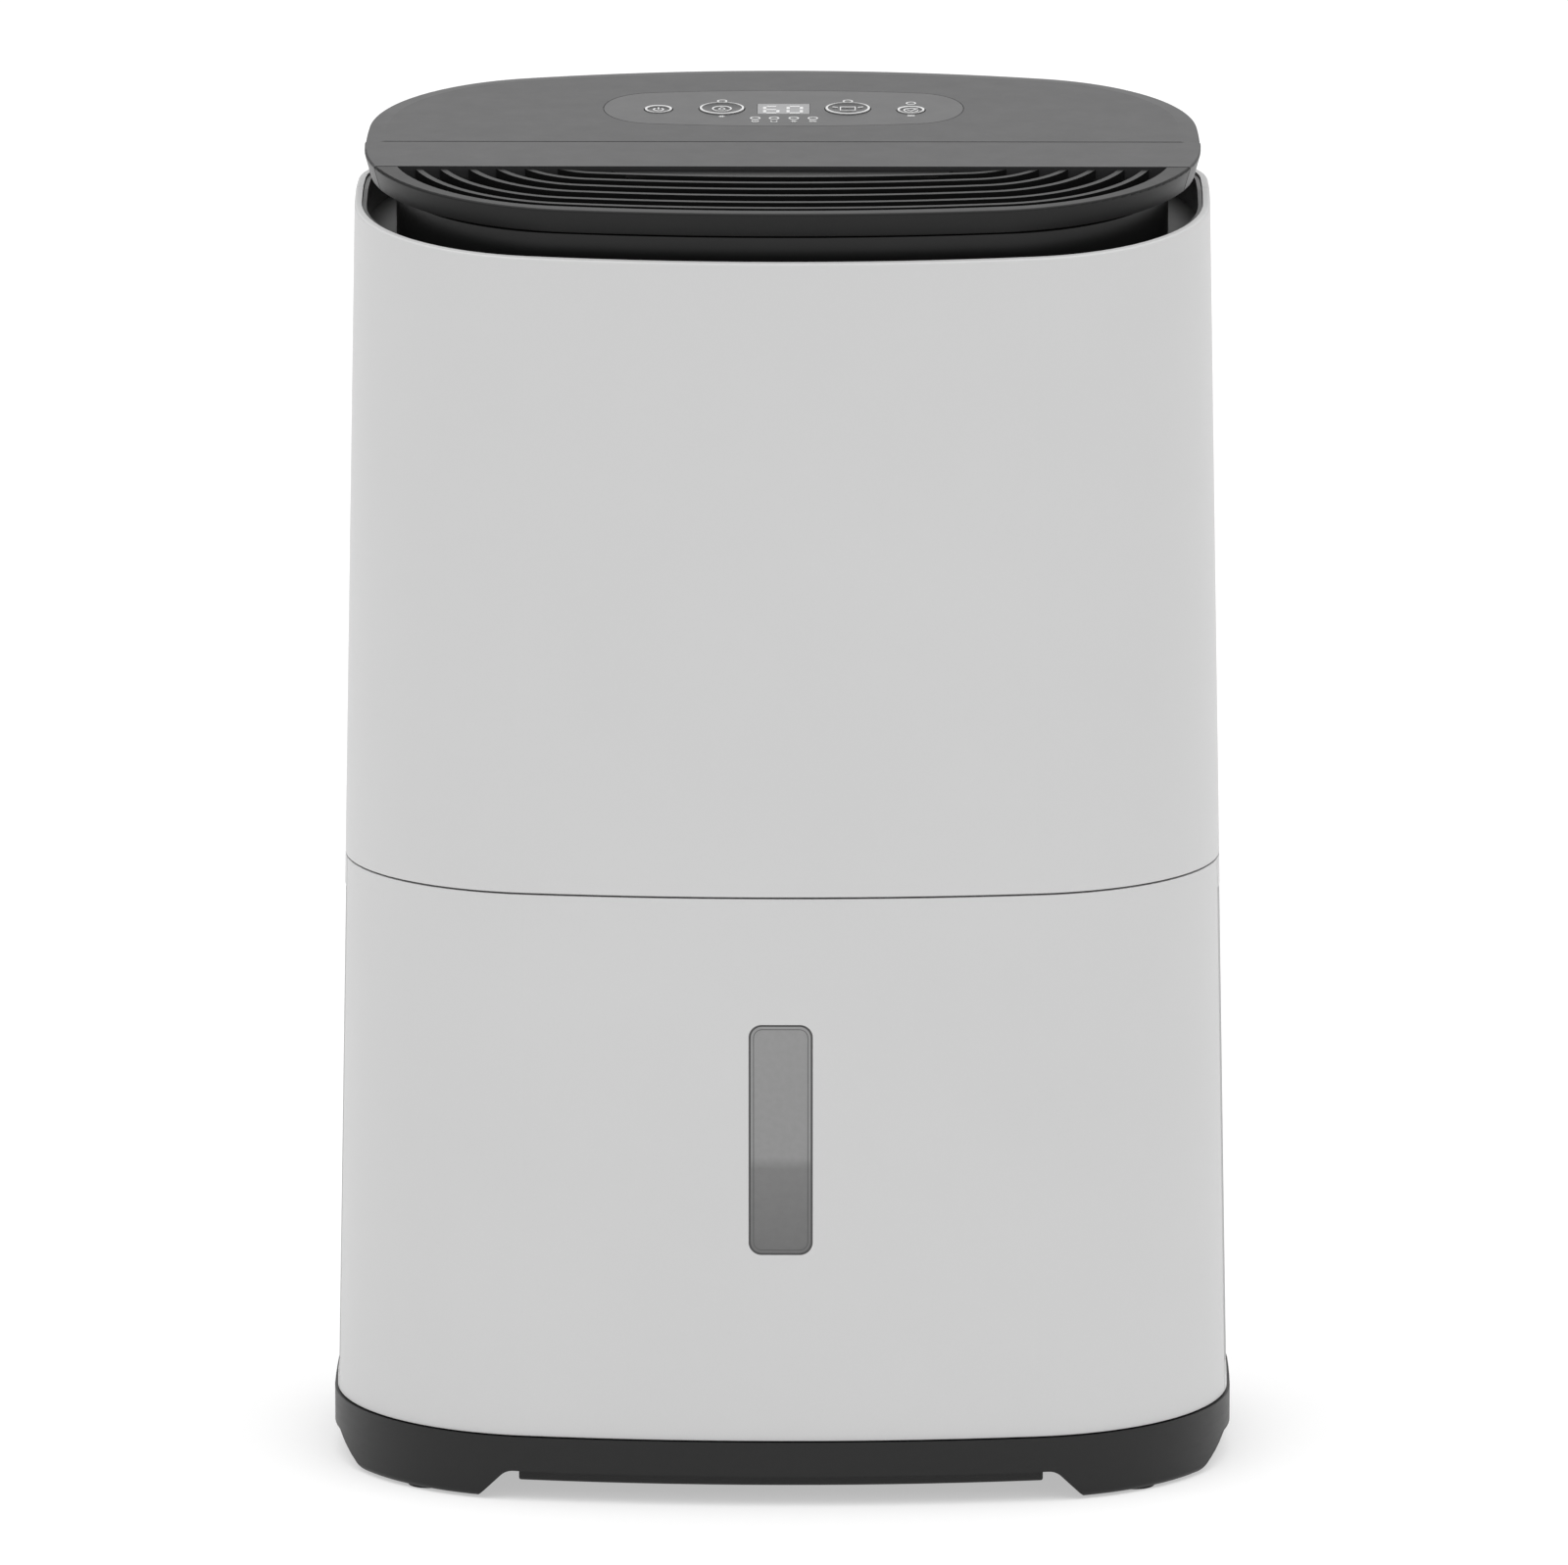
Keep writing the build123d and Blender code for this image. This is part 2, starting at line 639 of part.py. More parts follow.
def control_overlay():
    sheet = Pos(0, 0, -PANEL_T) * extrude(panel_face(0), PANEL_T)
    for tool in control_holes(BUTTON_GAP):
        sheet -= tool
    return sheet


def button(x, y, radius):
    """Push button with a dished face and a flange that holds it under the lid."""
    cap = rod(x, y, -3.0, radius, 6.4)
    cap = fillet(cap.edges().group_by(Axis.Z)[-1], 0.35)
    dish_r = radius * 6
    cap -= Pos(x, y, 0.2 + dish_r - 0.55) * Sphere(dish_r)
    return cap + rod(x, y, -3.8, radius + 0.6, 1.0)


def display_lens():
    y = (DISPLAY_Y - DISPLAY_D / 2, DISPLAY_Y + DISPLAY_D / 2)
    return span((-DISPLAY_W / 2, DISPLAY_W / 2), y, (-1.6, 0))


def indicator_lights():
    return [rod(x, y, -2.8, LAMP_R, 5.6) for x, y in LAMPS]


def control_board():
    """Circuit board, with its display module and tactile switches as separate solids."""
    board = span((-66, 66), (26, 74), (BOARD_Z, BOARD_Z + 1.2))
    half = DISPLAY_D / 2 - 1
    module = span((-9, 9), (DISPLAY_Y - half, DISPLAY_Y + half), (BOARD_Z + 1.2, -1.8))
    top = (BOARD_Z + 1.2, BOARD_Z + 2.2)
    switches = [span((x - 3, x + 3), (y - 3, y + 3), top) for x, y, _ in BUTTONS.values()]
    return [board, module, *switches]


# Air inlet


def inlet_grille():
    """Curved louvred door that pulls straight off the back of the casing."""
    half_w = INLET_HALF_W - 0.6
    z = (Z_INLET[0] + 0.6, Z_INLET[1] - 0.6)
    opening = rounded_box(half_w, (90, 130), z, 7.4)
    door = (casing(0.3, 250, 470) - casing(WALL + 0.3, 240, 480)) & opening
    for i in range(LOUVRES):
        slot = z[0] + 14 + LOUVRE_PITCH * i
        for x in (-43.5, 43.5):
            door -= Pos(x, 130, slot) * extrude(Plane.XZ * RectangleRounded(75, 4.6, 2.2), 50)
    rim = opening - rounded_box(half_w - 2, (80, 140), (z[0] + 2, z[1] - 2), 5.4)
    door += rim & (casing(1, 250, 470) - casing(WALL + 7, 240, 480))
    pull = rod(0, 130, z[1] + 3, 14, 40, "y") & casing(-5, 400, 480)
    return door - (pull - casing(1.6, 400, 480))


def filter_frame():
    half_w = INLET_HALF_W - 11
    z = (Z_INLET[0] + 6, Z_INLET[1] - 6)
    frame = span((-half_w, half_w), FILTER_Y, z)
    bars = 4
    width = (2 * half_w - 4) / bars
    for i in range(bars):
        x = -half_w + 4 + i * width
        frame -= span((x, x + width - 4), (80, 120), (z[0] + 4, z[1] - 4))
    return frame


def filter_mesh():
    half_w = INLET_HALF_W - 14
    y = (FILTER_Y[1], FILTER_Y[1] + 0.5)
    return span((-half_w, half_w), y, (Z_INLET[0] + 9, Z_INLET[1] - 9))


# Drain and cable inlet


def cable_gland():
    y = case_back_y(GLAND_X, GLAND_Z)
    gland = rod(GLAND_X, y, GLAND_Z, 12, 5, "y")
    gland = fillet(gland.edges().group_by(Axis.Y)[-1], 0.9) - casing(-0.05, 30, 100)
    gland += rod(GLAND_X, y - 4, GLAND_Z, 8.9, 9, "y")
    return gland - rod(GLAND_X, y, GLAND_Z, 4.0, 40, "y")


def drain_spigot():
    """Elbow that takes condensate from the tray's floor out through the back."""
    mouth = case_back_y(DRAIN_X, DRAIN_Z) + SPIGOT_OUT
    bend = (DRAIN_X, DRAIN_PIPE_Y, DRAIN_Z)
    outside = [(DRAIN_X, DRAIN_PIPE_Y, 249.1), bend, (DRAIN_X, mouth, DRAIN_Z)]
    inside = [(DRAIN_X, DRAIN_PIPE_Y, 260), bend, (DRAIN_X, mouth + 10, DRAIN_Z)]
    return pipe(outside, 9.5, 7.5) - pipe(inside, 9.5, SPIGOT_BORE_R)


def drain_plug():
    mouth = case_back_y(DRAIN_X, DRAIN_Z) + SPIGOT_OUT
    plug = rod(DRAIN_X, mouth + 2.3, DRAIN_Z, 8.5, 4, "y")
    plug = fillet(plug.edges().group_by(Axis.Y)[-1], 1.2)
    return plug + rod(DRAIN_X, mouth - 3.5, DRAIN_Z, SPIGOT_BORE_R - 0.08, 9, "y")


def condensate_tray():
    x, y, z = (-112, 112), (42, 98), (249.1, 260)
    tray = span(x, y, z) + span((-12, 12), (-2, 44), z)
    tray -= span((-110, 110), (44, 96), (251.1, 300))
    tray -= span((-10, 10), (0, 50), (251.1, 300))
    tray &= casing(WALL + 0.8, 240, 300)
    tray += rod(0, DRIP_Y, 243, 5.5, 18)
    tray -= rod(0, DRIP_Y, 243, 3.8, 40)
    return tray - rod(DRAIN_X, DRAIN_PIPE_Y, 250, 5.5, 10)


# Coils


def coil_rows():
    return [Z_COIL + COIL_PITCH * i for i in range(COIL_ROWS)]


def coil_tube(y):
    """One long tube that runs to and fro through the fins, both ends on the left."""
    reach, rows = COIL_HALF_W + 7, coil_rows()
    start = (-COIL_HALF_W - COIL_END, y)
    edges = [Line((*start, rows[0]), (reach, y, rows[0]))]
    for i, z in enumerate(rows[1:]):
        side = 1 if i % 2 == 0 else -1
        low, high = z - COIL_PITCH, z
        tip = side * (reach + COIL_PITCH / 2)
        middle = (tip, y, (low + high) / 2)
        edges.append(ThreePointArc((side * reach, y, low), middle, (side * reach, y, high)))
        end = start[0] if z == rows[-1] else -side * reach
        edges.append(Line((side * reach, y, high), (end, y, high)))
    path = Wire(edges)
    return sweep(Plane(origin=path @ 0, z_dir=path % 0) * Circle(COIL_TUBE_R), path=path)


def coil_fins(y):
    """Thin plates with a clear hole round each run of tube."""
    z = (coil_rows()[0] - 12, coil_rows()[-1] + 12)
    plate = span((-0.3, 0.3), (y - FIN_DEPTH / 2, y + FIN_DEPTH / 2), z)
    for row in coil_rows():
        plate -= rod(0, y, row, COIL_TUBE_R + 0.15, 4, "x")
    pitch = 2 * COIL_HALF_W / (FIN_COUNT - 1)
    return [Pos(-COIL_HALF_W + pitch * i, 0, 0) * plate for i in range(FIN_COUNT)]


def coil_end_plates():
    plates = []
    y = (CONDENSER_Y - 12, EVAPORATOR_Y + 12)
    z = (251.2, coil_rows()[-1] + 16)
    for side in (-1, 1):
        x = sorted((side * (COIL_HALF_W + 3), side * (COIL_HALF_W + 4.5)))
        plate = span(x, y, z)
        for row in coil_rows():
            for coil_y in (CONDENSER_Y, EVAPORATOR_Y):
                plate -= rod(side * COIL_HALF_W, coil_y, row, COIL_TUBE_R + 0.15, 30, "x")
        plates.append(plate)
    return plates


# Compressor and pipes


def can(x, y, radius, z, crown):
    """Upright welded can with rounded ends."""
    drum = rod(x, y, (z[0] + z[1]) / 2, radius, z[1] - z[0])
    return fillet(drum.edges(), crown)


def compressor_feet():
    """Where the three rubber mounts stand."""
    angles = [math.radians(a) for a in (30, 150, 270)]
    return [(COMPRESSOR_X + 58 * math.cos(a), COMPRESSOR_Y + 58 * math.sin(a)) for a in angles]


def compressor_shell():
    """Steel can on its three-cornered foot plate."""
    z_low, z_high = Z_COMPRESSOR
    place = (COMPRESSOR_X, COMPRESSOR_Y)
    shell = can(*place, COMPRESSOR_R, Z_COMPRESSOR, 15)
    feet = [Pos(x, y) * Circle(10) for x, y in compressor_feet()]
    plate = make_hull([edge for foot in feet for edge in foot.edges()])
    shell += Pos(0, 0, z_low + 1.5) * extrude(plate, 2.5)
    shell -= can(*place, COMPRESSOR_R - 3.5, (z_low + 5, z_high - 4), 12)
    for x, y in compressor_feet():
        shell -= rod(x, y, z_low, 4.4, 20)
    return shell


def compressor_stator():
    ring = rod(COMPRESSOR_X, COMPRESSOR_Y, 372, 42, 60) - rod(COMPRESSOR_X, COMPRESSOR_Y, 372, 25, 80)
    pump = rod(COMPRESSOR_X, COMPRESSOR_Y, 300, 42, 34) - rod(COMPRESSOR_X, COMPRESSOR_Y, 300, 8.05, 80)
    return [ring, pump]


def compressor_rotor():
    rotor = rod(COMPRESSOR_X, COMPRESSOR_Y, 372, 24.2, 56)
    return rotor + rod(COMPRESSOR_X, COMPRESSOR_Y, 336, 8, 110)


def compressor_mounts():
    mounts = []
    for x, y in compressor_feet():
        mount = rod(x, y, 256.25, 9, 14.3) - rod(x, y, 256, 4.1, 30)
        mounts.append(mount)
    return mounts


def compressor_bolts():
    bolts = []
    for x, y in compressor_feet():
        z = Z_COMPRESSOR[0] + 4.0
        head = extrude(Pos(x, y, z + 0.2) * RegularPolygon(6.5, 6), 5)
        bolts.append(head + rod(x, y, z - 7.5, 4, 16))
    return bolts


def accumulator():
    return can(*ACCUMULATOR, 15, (300, 400), 7)


def discharge_pipe():
    x, y, z = COMPRESSOR_X, COMPRESSOR_Y, Z_COMPRESSOR[1]
    end = (-COIL_HALF_W - COIL_END - 0.1, CONDENSER_Y, coil_rows()[-1])
    points = [(x, y, z + 0.1), (x, y, 462), (-140, CONDENSER_Y, 462), (-140, CONDENSER_Y, end[2]), end]
    return pipe(points, 11, 4)


def suction_pipe():
    start = (-COIL_HALF_W - COIL_END - 0.1, EVAPORATOR_Y, coil_rows()[-1])
    x, y = ACCUMULATOR
    turn, high = -124, 449
    rise = [(turn, EVAPORATOR_Y, start[2]), (turn, EVAPORATOR_Y, high), (turn, 36, high)]
    return pipe([start, *rise, (x, y, high), (x, y, 400.1)], 8, 4)


def refrigerant_pipes():
    """Compressor's discharge line and the suction line back to its accumulator."""
    return [discharge_pipe(), suction_pipe()]


def filter_drier():
    y, z = CONDENSER_Y, coil_rows()[0]
    drier = rod(-131, y, z, 8, 22, "x")
    drier = fillet(drier.edges(), 3)
    return drier + rod(-(COIL_HALF_W + COIL_END + 4.6), y, z, 3, 9, "x")


def capillary_tube():
    y, z = CONDENSER_Y, coil_rows()[0]
    points = [(-142.1, y, z), (-149, y, z), (-149, y, 304), (-128, EVAPORATOR_Y, 304)]
    points += [(-128, EVAPORATOR_Y, z), (-COIL_HALF_W - COIL_END - 0.1, EVAPORATOR_Y, z)]
    return pipe(points, 5, 1.5)


# Fan


def scroll_face(grow):
    """Round housing with a straight duct that leaves upwards along its right side."""
    disc = Pos(FAN_X, FAN_Z) * Circle(SCROLL_R + grow)
    left, right = FAN_X + 18 - 2.2 - grow, FAN_X + SCROLL_R + grow
    duct = make_face(Polyline((left, FAN_Z), (right, FAN_Z), (right, 500), (left, 500), close=True))
    return disc + duct


def fan_scroll():
    """Scroll with its back plate, and the front plate as a second solid."""
    y_front, y_back = SCROLL_Y
    depth = y_back - y_front
    outer = Pos(0, y_back, 0) * extrude(Plane.XZ * scroll_face(0), depth)
    inner = Pos(0, y_back - 2.2, 0) * extrude(Plane.XZ * scroll_face(-2.2), depth)
    cut = TOP * span((-300, 300), (-300, 300), (NECK_FLOOR - 0.3, 100))
    shell = outer - inner - rod(FAN_X, y_back, FAN_Z, 56, 20, "y") - cut
    cover = Pos(0, y_front, 0) * extrude(Plane.XZ * scroll_face(0), 2.2) - cut
    cover -= rod(FAN_X, y_front, FAN_Z, 8, 20, "y")
    return [shell, cover]


def fan_impeller():
    """Backing disc, forward-curved blades and the ring that ties their tips."""
    y = (-36.0, 24.0)
    wheel = rod(FAN_X, y[0] + 1.2, FAN_Z, IMPELLER_R, 2.4, "y")
    ring = rod(FAN_X, y[1] - 1.5, FAN_Z, IMPELLER_R, 3.0, "y")
    wheel += ring - rod(FAN_X, y[1], FAN_Z, IMPELLER_R - 3, 20, "y")
    wheel += rod(FAN_X, (y[0] + 6) / 2, FAN_Z, 13, 6 - y[0], "y")
    for i in range(36):
        blade = Pos(0, 0, IMPELLER_R - 7.6) * Rot(0, 24, 0) * Box(1.3, y[1] - y[0] - 1, 15)
        wheel += Pos(FAN_X, (y[0] + y[1]) / 2, FAN_Z) * Rot(0, 10.0 * i, 0) * blade
    return wheel - rod(FAN_X, 0, FAN_Z, SHAFT_R, 200, "y")


def fan_shaft():
    return rod(FAN_X, -36, FAN_Z, SHAFT_R, 84, "y")


def fan_motor():
    """Motor can bolted to the scroll's front plate."""
    y_back = SCROLL_Y[0] - 2.4
    can = rod(FAN_X, y_back - 19, FAN_Z, 40, 38, "y")
    can = fillet(can.edges().group_by(Axis.Y)[0], 5)
    can += rod(FAN_X, y_back - 1.5, FAN_Z, 47, 3, "y")
    return can - rod(FAN_X, y_back, FAN_Z, SHAFT_R + 0.05, 64, "y")


# Electrics


def board_box():
    """Open-fronted box for the main board, on four feet against the bay's back wall."""
    x, y, z = (24, 118), (54, 88), (86, 206)
    box = span(x, y, z) - span((x[0] + 2, x[1] - 2), (y[0] - 2, y[1] - 2), (z[0] + 2, z[1] - 2))
    for foot_x in (x[0] + 5, x[1] - 5):
        for foot_z in (z[0] + 7, z[1] - 7):
            foot = span((foot_x - 5, foot_x + 5), (BAY_BACK_Y + BAY_WALL, 58), (foot_z - 7, foot_z + 7))
            box += foot
    return box


def main_board():
    """Circuit board with its large components as separate solids."""
    board = span((30, 112), (58.3, 59.9), (102, 190))
    relay = span((38, 56), (59.9, 76), (108, 136))
    choke = rod(94, 70, 120, 9.8, 22)
    buffer_can = rod(74, 70, 168, 9.5, 30)
    return [board, relay, choke, buffer_can]


def run_capacitor():
    x, y = CAPACITOR
    body = rod(x, y, 90, 20, 80)
    body = fillet(body.edges().group_by(Axis.Z)[-1], 2)
    for tab in (x - 6, x + 6):
        body += span((tab - 0.5, tab + 0.5), (y - 3, y + 3), (129, 138))
    return body


def tank_switch():
    """Reed switch housing behind the bay's back wall, level with the float."""
    y = BAY_BACK_Y + BAY_WALL
    box = span((-14, 14), (y, y + 12), (FLOAT_AXIS_Z - 8, FLOAT_AXIS_Z + 14))
    return fillet(box.edges().filter_by(Axis.Y), 2)


def capacitor_clip():
    """Strap that holds the capacitor to the bay's back wall."""
    y = BAY_BACK_Y + BAY_WALL
    x, middle = CAPACITOR
    strap = rod(x, middle, 100, 22.2, 14) - rod(x, middle, 100, 20.3, 20)
    return strap + span((x - 6, x + 6), (y, middle - 20.8), (93, 107))


def write(name, solids):
    """Write one node, whose pieces stay separate solids."""
    pieces = solids if isinstance(solids, list) else [solids]
    shape = pieces[0] if len(pieces) == 1 else Compound(children=pieces)
    shape.label = name
    export_step(shape, f"parts/{name}.step")


def main():
    os.makedirs("parts", exist_ok=True)
    outer = lid_outer()
    tilted = {
        "lid_cover": lid_cover(),
        "lid_strip": lid_strip(outer),
        "outlet_grille": outlet_grille(outer),
        "outlet_collar": outlet_collar(),
        "control_tray": control_tray(),
        "control_overlay": control_overlay(),
        "display_lens": display_lens(),
        "indicator_lights": indicator_lights(),
        "control_board": control_board(),
    }
    for name, (x, y, radius) in BUTTONS.items():
        tilted[name] = button(x, y, radius)
    for name, made in tilted.items():
        pieces = made if isinstance(made, list) else [made]
        write(name, [TOP * piece for piece in pieces])
    upright = (
        base, foot_pads, front_shell, rear_shell, grip_cups, casing_screws, chassis, tank_front_panel,
        water_window, tank_tub, tank_lid, tank_handle, handle_pins, float_arm, float_block,
        float_pin, rim_liner, inlet_grille, filter_frame, filter_mesh, cable_gland,
        drain_spigot, drain_plug, condensate_tray, coil_end_plates, compressor_shell,
        compressor_stator, compressor_rotor, compressor_mounts, compressor_bolts, accumulator,
        refrigerant_pipes, filter_drier, capillary_tube, fan_scroll, fan_impeller,
        fan_shaft, fan_motor, board_box, main_board, run_capacitor, tank_switch, capacitor_clip,
    )
    for maker in upright:
        write(maker.__name__, maker())
    for name, y in (("evaporator", EVAPORATOR_Y), ("condenser", CONDENSER_Y)):
        write(f"{name}_tube", coil_tube(y))
        write(f"{name}_fins", coil_fins(y))


if __name__ == "__main__":
    main()
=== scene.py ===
import bmesh
import bpy
import json
import math
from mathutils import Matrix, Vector
from mathutils.bvhtree import BVHTree


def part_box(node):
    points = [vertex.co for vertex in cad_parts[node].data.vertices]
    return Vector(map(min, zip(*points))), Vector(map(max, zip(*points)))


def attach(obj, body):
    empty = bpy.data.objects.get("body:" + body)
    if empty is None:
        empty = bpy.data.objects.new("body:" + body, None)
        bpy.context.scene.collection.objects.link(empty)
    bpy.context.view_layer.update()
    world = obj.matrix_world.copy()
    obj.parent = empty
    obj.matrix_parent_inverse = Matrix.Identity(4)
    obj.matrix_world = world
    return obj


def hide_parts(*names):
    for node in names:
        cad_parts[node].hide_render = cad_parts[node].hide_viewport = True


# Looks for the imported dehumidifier: metres, +Z up, -Y towards the front.

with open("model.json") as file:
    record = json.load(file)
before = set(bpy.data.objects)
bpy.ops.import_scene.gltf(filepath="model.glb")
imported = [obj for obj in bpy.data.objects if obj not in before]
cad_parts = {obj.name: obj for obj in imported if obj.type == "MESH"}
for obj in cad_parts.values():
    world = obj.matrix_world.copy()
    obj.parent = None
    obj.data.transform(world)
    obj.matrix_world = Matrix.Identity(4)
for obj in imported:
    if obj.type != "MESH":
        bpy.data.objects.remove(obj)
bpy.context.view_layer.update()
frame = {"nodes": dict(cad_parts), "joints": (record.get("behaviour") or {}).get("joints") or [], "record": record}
nodes = frame["nodes"]
joints = {joint["name"]: joint for joint in frame["joints"]}
MM = 0.001


# Places read from the frame


def centre(node):
    low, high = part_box(node)
    return (low + high) / 2


# The lid's own plane: origin at the middle of the display, normal against the buttons' travel.
PRESS = Vector(joints["mode_button_press"]["axis"]).normalized()
LID_N = -PRESS
LID_X = Vector((1, 0, 0))
LID_Y = LID_N.cross(LID_X)
LID_O = centre("display_lens") + LID_N * 0.8 * MM
FRONT_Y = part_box("water_window")[0].y


def on_lid(x, y, z=0.0):
    """Point x, y, z mm from the display's middle, in the lid's plane."""
    return LID_O + (LID_X * x + LID_Y * y + LID_N * z) * MM


def lid_place(point):
    """x and y of a point in the lid's plane, in mm."""
    offset = point - LID_O
    return offset.dot(LID_X) / MM, offset.dot(LID_Y) / MM


def surface_of(node):
    """Something that rays can be cast at."""
    mesh = nodes[node].data
    return BVHTree.FromPolygons([v.co for v in mesh.vertices], [p.vertices for p in mesh.polygons])


def solid_middles(node):
    """Middles of a node's separate solids."""
    shape = bmesh.new()
    shape.from_mesh(nodes[node].data)
    bmesh.ops.remove_doubles(shape, verts=shape.verts, dist=1e-6)
    waiting = set(shape.verts)
    found = []
    while waiting:
        reached = [waiting.pop()]
        places = []
        while reached:
            vertex = reached.pop()
            places.append(vertex.co.copy())
            for edge in vertex.link_edges:
                other = edge.other_vert(vertex)
                if other in waiting:
                    waiting.remove(other)
                    reached.append(other)
        low = Vector([min(p[i] for p in places) for i in range(3)])
        high = Vector([max(p[i] for p in places) for i in range(3)])
        found.append((low + high) / 2)
    shape.free()
    return found


# Materials


class Recipe:
    """A material's node tree with one Principled shader, built a step at a time."""

    def __init__(self, name, colour, rough, metallic=0.0, specular=0.5):
        self.name = name
        self.material = bpy.data.materials.new(name)
        self.material.use_nodes = True
        self.tree = self.material.node_tree
        self.tree.nodes.clear()
        self.shader = self.node("ShaderNodeBsdfPrincipled")
        output = self.node("ShaderNodeOutputMaterial")
        self.link(self.shader.outputs[0], output.inputs[0])
        self.shader.inputs["Base Color"].default_value = (*colour, 1)
        self.shader.inputs["Roughness"].default_value = rough
        self.shader.inputs["Metallic"].default_value = metallic
        self.shader.inputs["Specular IOR Level"].default_value = specular
        self.place = self.node("ShaderNodeTexCoord").outputs["Object"]
        self.normal = None

    def node(self, kind, **settings):
        made = self.tree.nodes.new(kind)
        for name, value in settings.items():
            setattr(made, name, value)
        return made

    def link(self, source, target):
        self.tree.links.new(source, target)

    def stretched(self, scale):
        """Object place scaled by different amounts along X, Y and Z."""
        mapping = self.node("ShaderNodeMapping")
        mapping.inputs["Scale"].default_value = scale
        self.link(self.place, mapping.inputs["Vector"])
        return mapping.outputs[0]

    def noise(self, scale, detail=3.0, rough=0.5, place=None, distortion=0.0):
        made = self.node("ShaderNodeTexNoise")
        made.inputs["Scale"].default_value = scale
        made.inputs["Detail"].default_value = detail
        made.inputs["Roughness"].default_value = rough
        made.inputs["Distortion"].default_value = distortion
        self.link(place or self.place, made.inputs["Vector"])
        return made.outputs["Fac"]

    def cells(self, scale, place=None):
        made = self.node("ShaderNodeTexVoronoi")
        made.inputs["Scale"].default_value = scale
        self.link(place or self.place, made.inputs["Vector"])
        return made.outputs["Distance"]

    def ramp(self, value, stops):
        """Colour from a value, by (position, colour) stops."""
        made = self.node("ShaderNodeValToRGB")
        while len(made.color_ramp.elements) < len(stops):
            made.color_ramp.elements.new(0.5)
        for element, (position, colour) in zip(made.color_ramp.elements, stops):
            element.position = position
            element.color = (*colour, 1)
        self.link(value, made.inputs["Fac"])
        return made.outputs["Color"]

    def remap(self, value, low, high, out_low, out_high):
        made = self.node("ShaderNodeMapRange")
        for socket, number in zip(made.inputs[1:5], (low, high, out_low, out_high)):
            socket.default_value = number
        self.link(value, made.inputs[0])
        return made.outputs[0]

    def math(self, operation, a, b):
        made = self.node("ShaderNodeMath", operation=operation)
        for socket, value in zip(made.inputs, (a, b)):
            if isinstance(value, (int, float)):
                socket.default_value = value
            else:
                self.link(value, socket)
        return made.outputs[0]

    def blend(self, mode, factor, a, b):
        made = self.node("ShaderNodeMix", data_type="RGBA", blend_type=mode)
        for socket, value in zip((made.inputs[0], made.inputs[6], made.inputs[7]), (factor, a, b)):
            if isinstance(value, (int, float)):
                socket.default_value = value
            elif isinstance(value, tuple):
                socket.default_value = (*value, 1)
            else:
                self.link(value, socket)
        return made.outputs[2]

    def axis(self, index):
        """One coordinate of the place."""
        made = self.node("ShaderNodeSeparateXYZ")
        self.link(self.place, made.inputs[0])
        return made.outputs[index]

    def colour(self, socket):
        self.link(socket, self.shader.inputs["Base Color"])

    def roughness(self, socket):
        self.link(socket, self.shader.inputs["Roughness"])

    def bump(self, height, depth, strength=1.0):
        """Relief of the given depth in metres, on top of any relief so far."""
        made = self.node("ShaderNodeBump")
        made.inputs["Strength"].default_value = strength
        made.inputs["Distance"].default_value = depth
        self.link(height, made.inputs["Height"])
        if self.normal is not None:
            self.link(self.normal, made.inputs["Normal"])
        self.normal = made.outputs[0]
        self.link(self.normal, self.shader.inputs["Normal"])


def shade(colour, factor):
    return tuple(min(1.0, channel * factor) for channel in colour)


def moulded(name, colour, rough, grain=1400.0, depth=0.03, patch=18.0, vary=0.04, specular=0.5):
    """Injection-moulded plastic: eroded grain, cloudy gloss, faint tone changes, fine rubbing."""
    made = Recipe(name, colour, rough, specular=specular)
    cloud = made.noise(patch, 4.0, 0.55)
    tone = made.ramp(cloud, [(0.3, shade(colour, 1 - vary)), (0.7, shade(colour, 1 + vary))])
    speck = made.noise(grain, 2.0, 0.6)
    dots = made.ramp(speck, [(0.35, shade((1, 1, 1), 1 - vary)), (0.65, (1, 1, 1))])
    made.colour(made.blend("MULTIPLY", 1.0, tone, dots))
    rubbed = made.noise(90.0, 5.0, 0.65, made.stretched((1.0, 1.0, 6.0)))
    made.roughness(made.remap(rubbed, 0.3, 0.7, rough - 0.02, rough + 0.02))
    made.bump(speck, depth * MM)
    made.bump(made.noise(patch * 1.7, 2.0), 0.03 * MM, 0.25)
    return made


